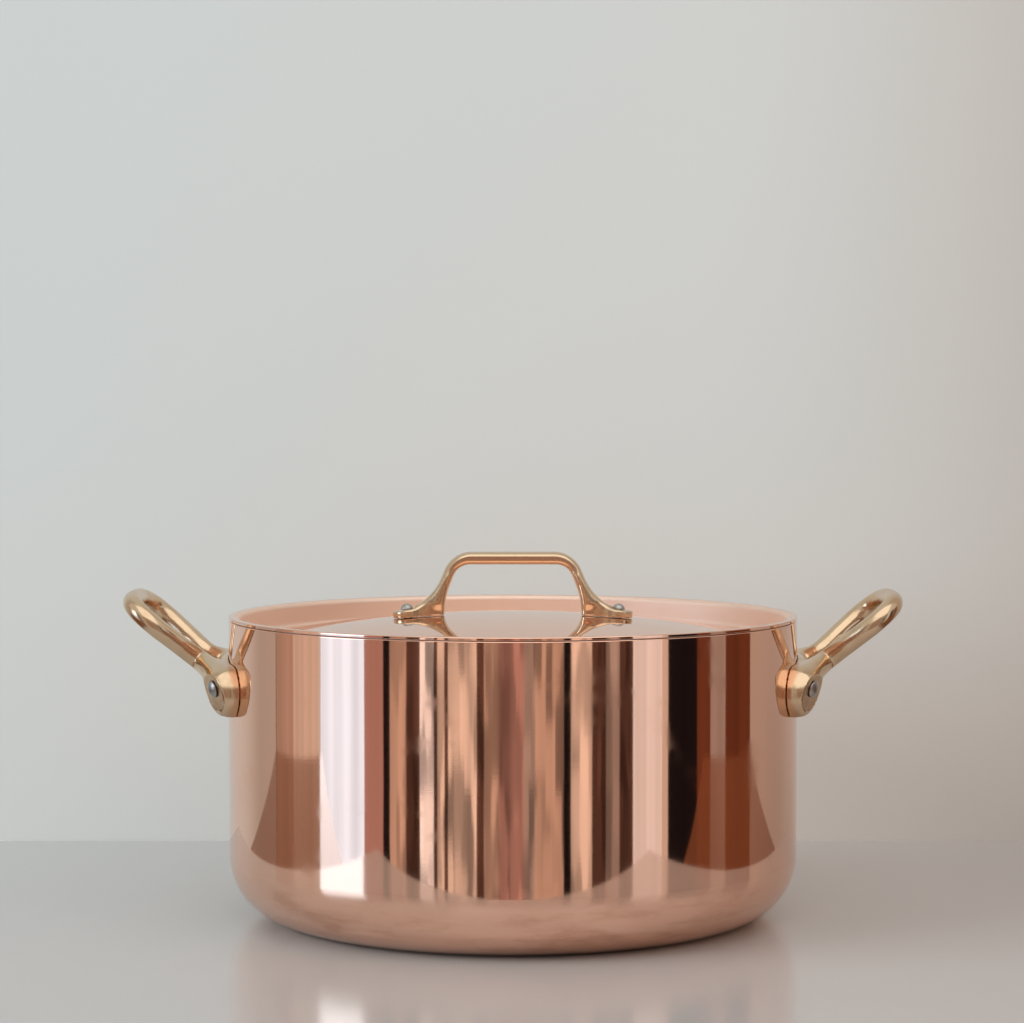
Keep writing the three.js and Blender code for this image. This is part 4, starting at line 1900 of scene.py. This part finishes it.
@dataclass(frozen=True)
class Lamp:
    """A soft square lamp that points at the pot.

    Attributes:
        name: The lamp's name.
        place: Where it hangs, in metres.
        size: Side of the square in metres.
        watts: Its power.
        colour: Its colour.
        mirrored: Whether metal mirrors it.
    """

    name: str
    place: Place
    size: float
    watts: float
    colour: Colour
    mirrored: bool

    def build(self, target: Vector) -> None:
        """Hang the lamp.

        Args:
            target: Where it points.
        """
        data = bpy.data.lights.new(self.name, "AREA")
        data.size = self.size
        data.energy = self.watts
        data.color = self.colour
        lamp = bpy.data.objects.new(self.name, data)
        lamp.location = self.place
        lamp.rotation_euler = (target - lamp.location).to_track_quat("-Z", "Y").to_euler()
        lamp.visible_camera = False
        lamp.visible_glossy = self.mirrored
        bpy.context.scene.collection.objects.link(lamp)


@dataclass(frozen=True)
class Studio:
    """The pale counter, the pale wall behind it, a table that the metal mirrors, and the lamps.

    Attributes:
        wall_y: Where the wall stands behind the pot, in metres like all lengths here.
        front_y: Where the counter ends in front.
        counter_half: Half of the counter's width.
        reach: How far the floor and the wall go on past that.
        floor_drop: How far the floor lies under the counter.
        floor_gloss: Roughness of the floor.
        table_half: Half of the width of the table that the counter lies on.
        table_drop: How far the table lies under the counter.
        table: Colour of the table, which only the metal mirrors.
        table_front: Where the table ends in front.
        table_gloss: Roughness of the table.
        table_shine: How strongly the table mirrors, half for plain varnish.
        counter: Colour of the counter.
        counter_gloss: Roughness of the counter.
        wall: Colour of the wall, near the counter.
        wall_top: Its colour further up.
        wall_rise: Heights between which the one turns into the other.
        wall_shade: Its colour off to the sides.
        wall_fade_left: How far to the left of the middle it starts to darken, and where it has.
        wall_fade_right: The same to the right.
        lamps: The lamps.
    """

    wall_y: float = 0.19
    front_y: float = -0.265
    counter_half: float = 0.275
    reach: float = 4.0
    floor_drop: float = 0.0003
    floor_gloss: float = 0.8
    table_half: float = 0.88
    table_drop: float = 0.025
    table: Colour = (0.19, 0.085, 0.045)
    table_front: float = -0.225
    table_gloss: float = 0.12
    table_shine: float = 0.12
    counter: Colour = (0.475, 0.48, 0.48)
    counter_gloss: float = 0.16
    wall: Colour = (0.665, 0.69, 0.68)
    # wall_top: Its colour further up, where painted light makes it cooler to offset the warm bounce
    # light.
    wall_top: Colour = (0.62, 0.685, 0.695)
    wall_rise: Span = (0.02, 0.22)
    # wall_shade: Painted shade: the wall's darker colour off to the sides.
    wall_shade: Colour = (0.45, 0.44, 0.42)
    # wall_fade_left: How far to the left of the middle the painted shade starts, and where it is full.
    wall_fade_left: Span = (0.28, 0.55)
    wall_fade_right: Span = (0.08, 0.40)
    lamps: tuple[Lamp, ...] = (
        Lamp(
            name="window_light",
            place=(-4.3, -1.45, 1.3),
            size=3.0,
            watts=215.0,
            colour=(0.98, 1.0, 1.0),
            mirrored=False,
        ),
        Lamp(
            name="overhead_light",
            place=(0.3, -1.7, 2.8),
            size=4.0,
            watts=34.0,
            colour=(1.0, 1.0, 1.0),
            mirrored=True,
        ),
        Lamp(
            name="bounce_light",
            place=(0.9, -0.5, 0.5),
            size=0.9,
            watts=3.8,
            colour=(1.0, 0.5, 0.25),
            mirrored=False,
        ),
    )

    @staticmethod
    def plane(
        name: str, corners: Sequence[Place], material: bpy.types.Material
    ) -> bpy.types.Object:
        """A flat piece of the set.

        Args:
            name: The object's name.
            corners: Its four corners, anticlockwise as seen from its face.
            material: Its material.

        Returns:
            The object, marked as stage.
        """
        mesh = bpy.data.meshes.new(name)
        mesh.from_pydata(corners, [], [(0, 1, 2, 3)])
        mesh.materials.append(material)
        made = bpy.data.objects.new(name, mesh)
        bpy.context.scene.collection.objects.link(made)
        made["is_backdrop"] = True
        return made

    @staticmethod
    def plain_material(
        name: str, colour: Colour, roughness: float, shine: float = 0.5
    ) -> bpy.types.Material:
        """A plain surface of the set.

        Args:
            name: The material's name.
            colour: Its colour.
            roughness: Its roughness.
            shine: How strongly it mirrors.

        Returns:
            The material.
        """
        made = bpy.data.materials.new(name)
        made.use_nodes = True
        graph = Graph(made.node_tree)
        sockets = {"Base Color": (*colour, 1.0), "Roughness": roughness, "Specular IOR Level": shine}
        shader = graph.node("ShaderNodeBsdfPrincipled", {}, sockets)
        graph.node("ShaderNodeOutputMaterial", {}, {"Surface": shader})
        return made

    def wall_material(self) -> bpy.types.Material:
        """Pale plaster with painted light and shade, clear from behind so that the pot can be seen
        from there.

        Returns:
            The material.
        """
        made = bpy.data.materials.new("wall")
        made.use_nodes = True
        graph = Graph(made.node_tree)
        behind = graph.node("ShaderNodeNewGeometry", output="Backfacing")
        place = graph.node("ShaderNodeTexCoord", output="Object")
        axes = graph.node("ShaderNodeSeparateXYZ", {}, {0: place})
        across = axes.out("X")
        # Painted shade: the wall darkens off to both sides, from nearer the middle on the right, where
        # the pot's shadow lies.
        painted_shade = (0.0 - across).fade(*self.wall_fade_left) + across.fade(*self.wall_fade_right)
        # Painted light: the wall turns cooler further up, which offsets the warm bounce light there.
        middle = graph.mix(axes.out("Z").fade(*self.wall_rise), self.wall, self.wall_top)
        painted_light_and_shade = graph.mix(painted_shade, middle, self.wall_shade)
        plaster = graph.node("ShaderNodeBsdfDiffuse", {}, {"Color": painted_light_and_shade})
        clear = graph.node("ShaderNodeBsdfTransparent")
        shader = graph.node("ShaderNodeMixShader", {}, {0: behind, 1: plaster, 2: clear})
        graph.node("ShaderNodeOutputMaterial", {}, {"Surface": shader})
        return made

    def build(self) -> None:
        """Make the set and hang the lamps."""
        stone = self.plain_material("counter", self.counter, self.counter_gloss)
        wood = self.plain_material("table", self.table, self.table_gloss, self.table_shine)
        near, far = self.front_y, self.wall_y

        def level(half: float, front: float, back: float, drop: float) -> list[Place]:
            """The corners of a level piece."""
            across = ((-half, front), (half, front), (half, back), (-half, back))
            return [(x, y, -drop) for x, y in across]

        self.plane("counter", level(self.counter_half, near, far, 0.0), stone)
        dull = self.plain_material("floor", self.counter, self.floor_gloss)
        floor = self.plane("floor", level(self.reach, -self.reach, self.reach, self.floor_drop), dull)
        floor.visible_glossy = False
        floor.visible_diffuse = False
        floor.visible_shadow = False
        board = level(self.table_half, self.table_front, far, self.table_drop)
        table = self.plane("table", board, wood)
        table.visible_diffuse = False
        half, up = self.table_half, self.reach
        upright = [(-half, far, -up), (half, far, -up), (half, far, up), (-half, far, up)]
        self.plane("wall", upright, self.wall_material())
        target = (cad_box[0] + cad_box[1]) / 2
        for lamp in self.lamps:
            lamp.build(target)
        log.info("studio: counter, floor, table, wall and %d lamps", len(self.lamps))


@dataclass(frozen=True)
class Viewpoint:
    """The camera, a little above the lid and a good metre in front of the pot.

    Attributes:
        place: Where it stands, in metres.
        dip: Degrees that it looks down.
        focal_pixels: Focal length in pixels of the image's width.
        sensor: Width of the sensor in millimetres.
    """

    place: Place = (-0.0004, -1.1885, 0.2169)
    dip: float = 2.249
    focal_pixels: float = 2808.7
    sensor: float = 36.0

    def build(self) -> None:
        """Set up the scene's camera."""
        data = bpy.data.cameras.new("camera")
        data.sensor_fit = "HORIZONTAL"
        data.sensor_width = self.sensor
        data.lens = self.focal_pixels / IMAGE_WIDTH * self.sensor
        camera = bpy.data.objects.new("camera", data)
        camera.location = self.place
        camera.rotation_euler = (math.radians(90 - self.dip), 0.0, 0.0)
        bpy.context.scene.collection.objects.link(camera)
        bpy.context.scene.camera = camera


def write_sizes() -> None:
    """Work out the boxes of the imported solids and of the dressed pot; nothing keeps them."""
    boxes = {"cad": cad_box, "visual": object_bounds()}
    {name: [list(corner) for corner in box] for name, box in boxes.items()}


def main() -> None:
    """Build the pot, its studio and its camera."""
    logging.basicConfig(level=logging.INFO, format="%(name)s: %(message)s")
    Viewpoint().build()
    finishes = Finishes()
    pot = PotBody.from_frame()
    lid = Lid(pot)
    pot.build(finishes)
    SideHandle(pot).build(finishes)
    lid.build(finishes)
    LidHandle(lid).build(finishes)
    Room().build()
    Studio().build()
    bpy.context.scene.view_settings.view_transform = "Standard"
    write_sizes()


if __name__ == "__main__":
    main()
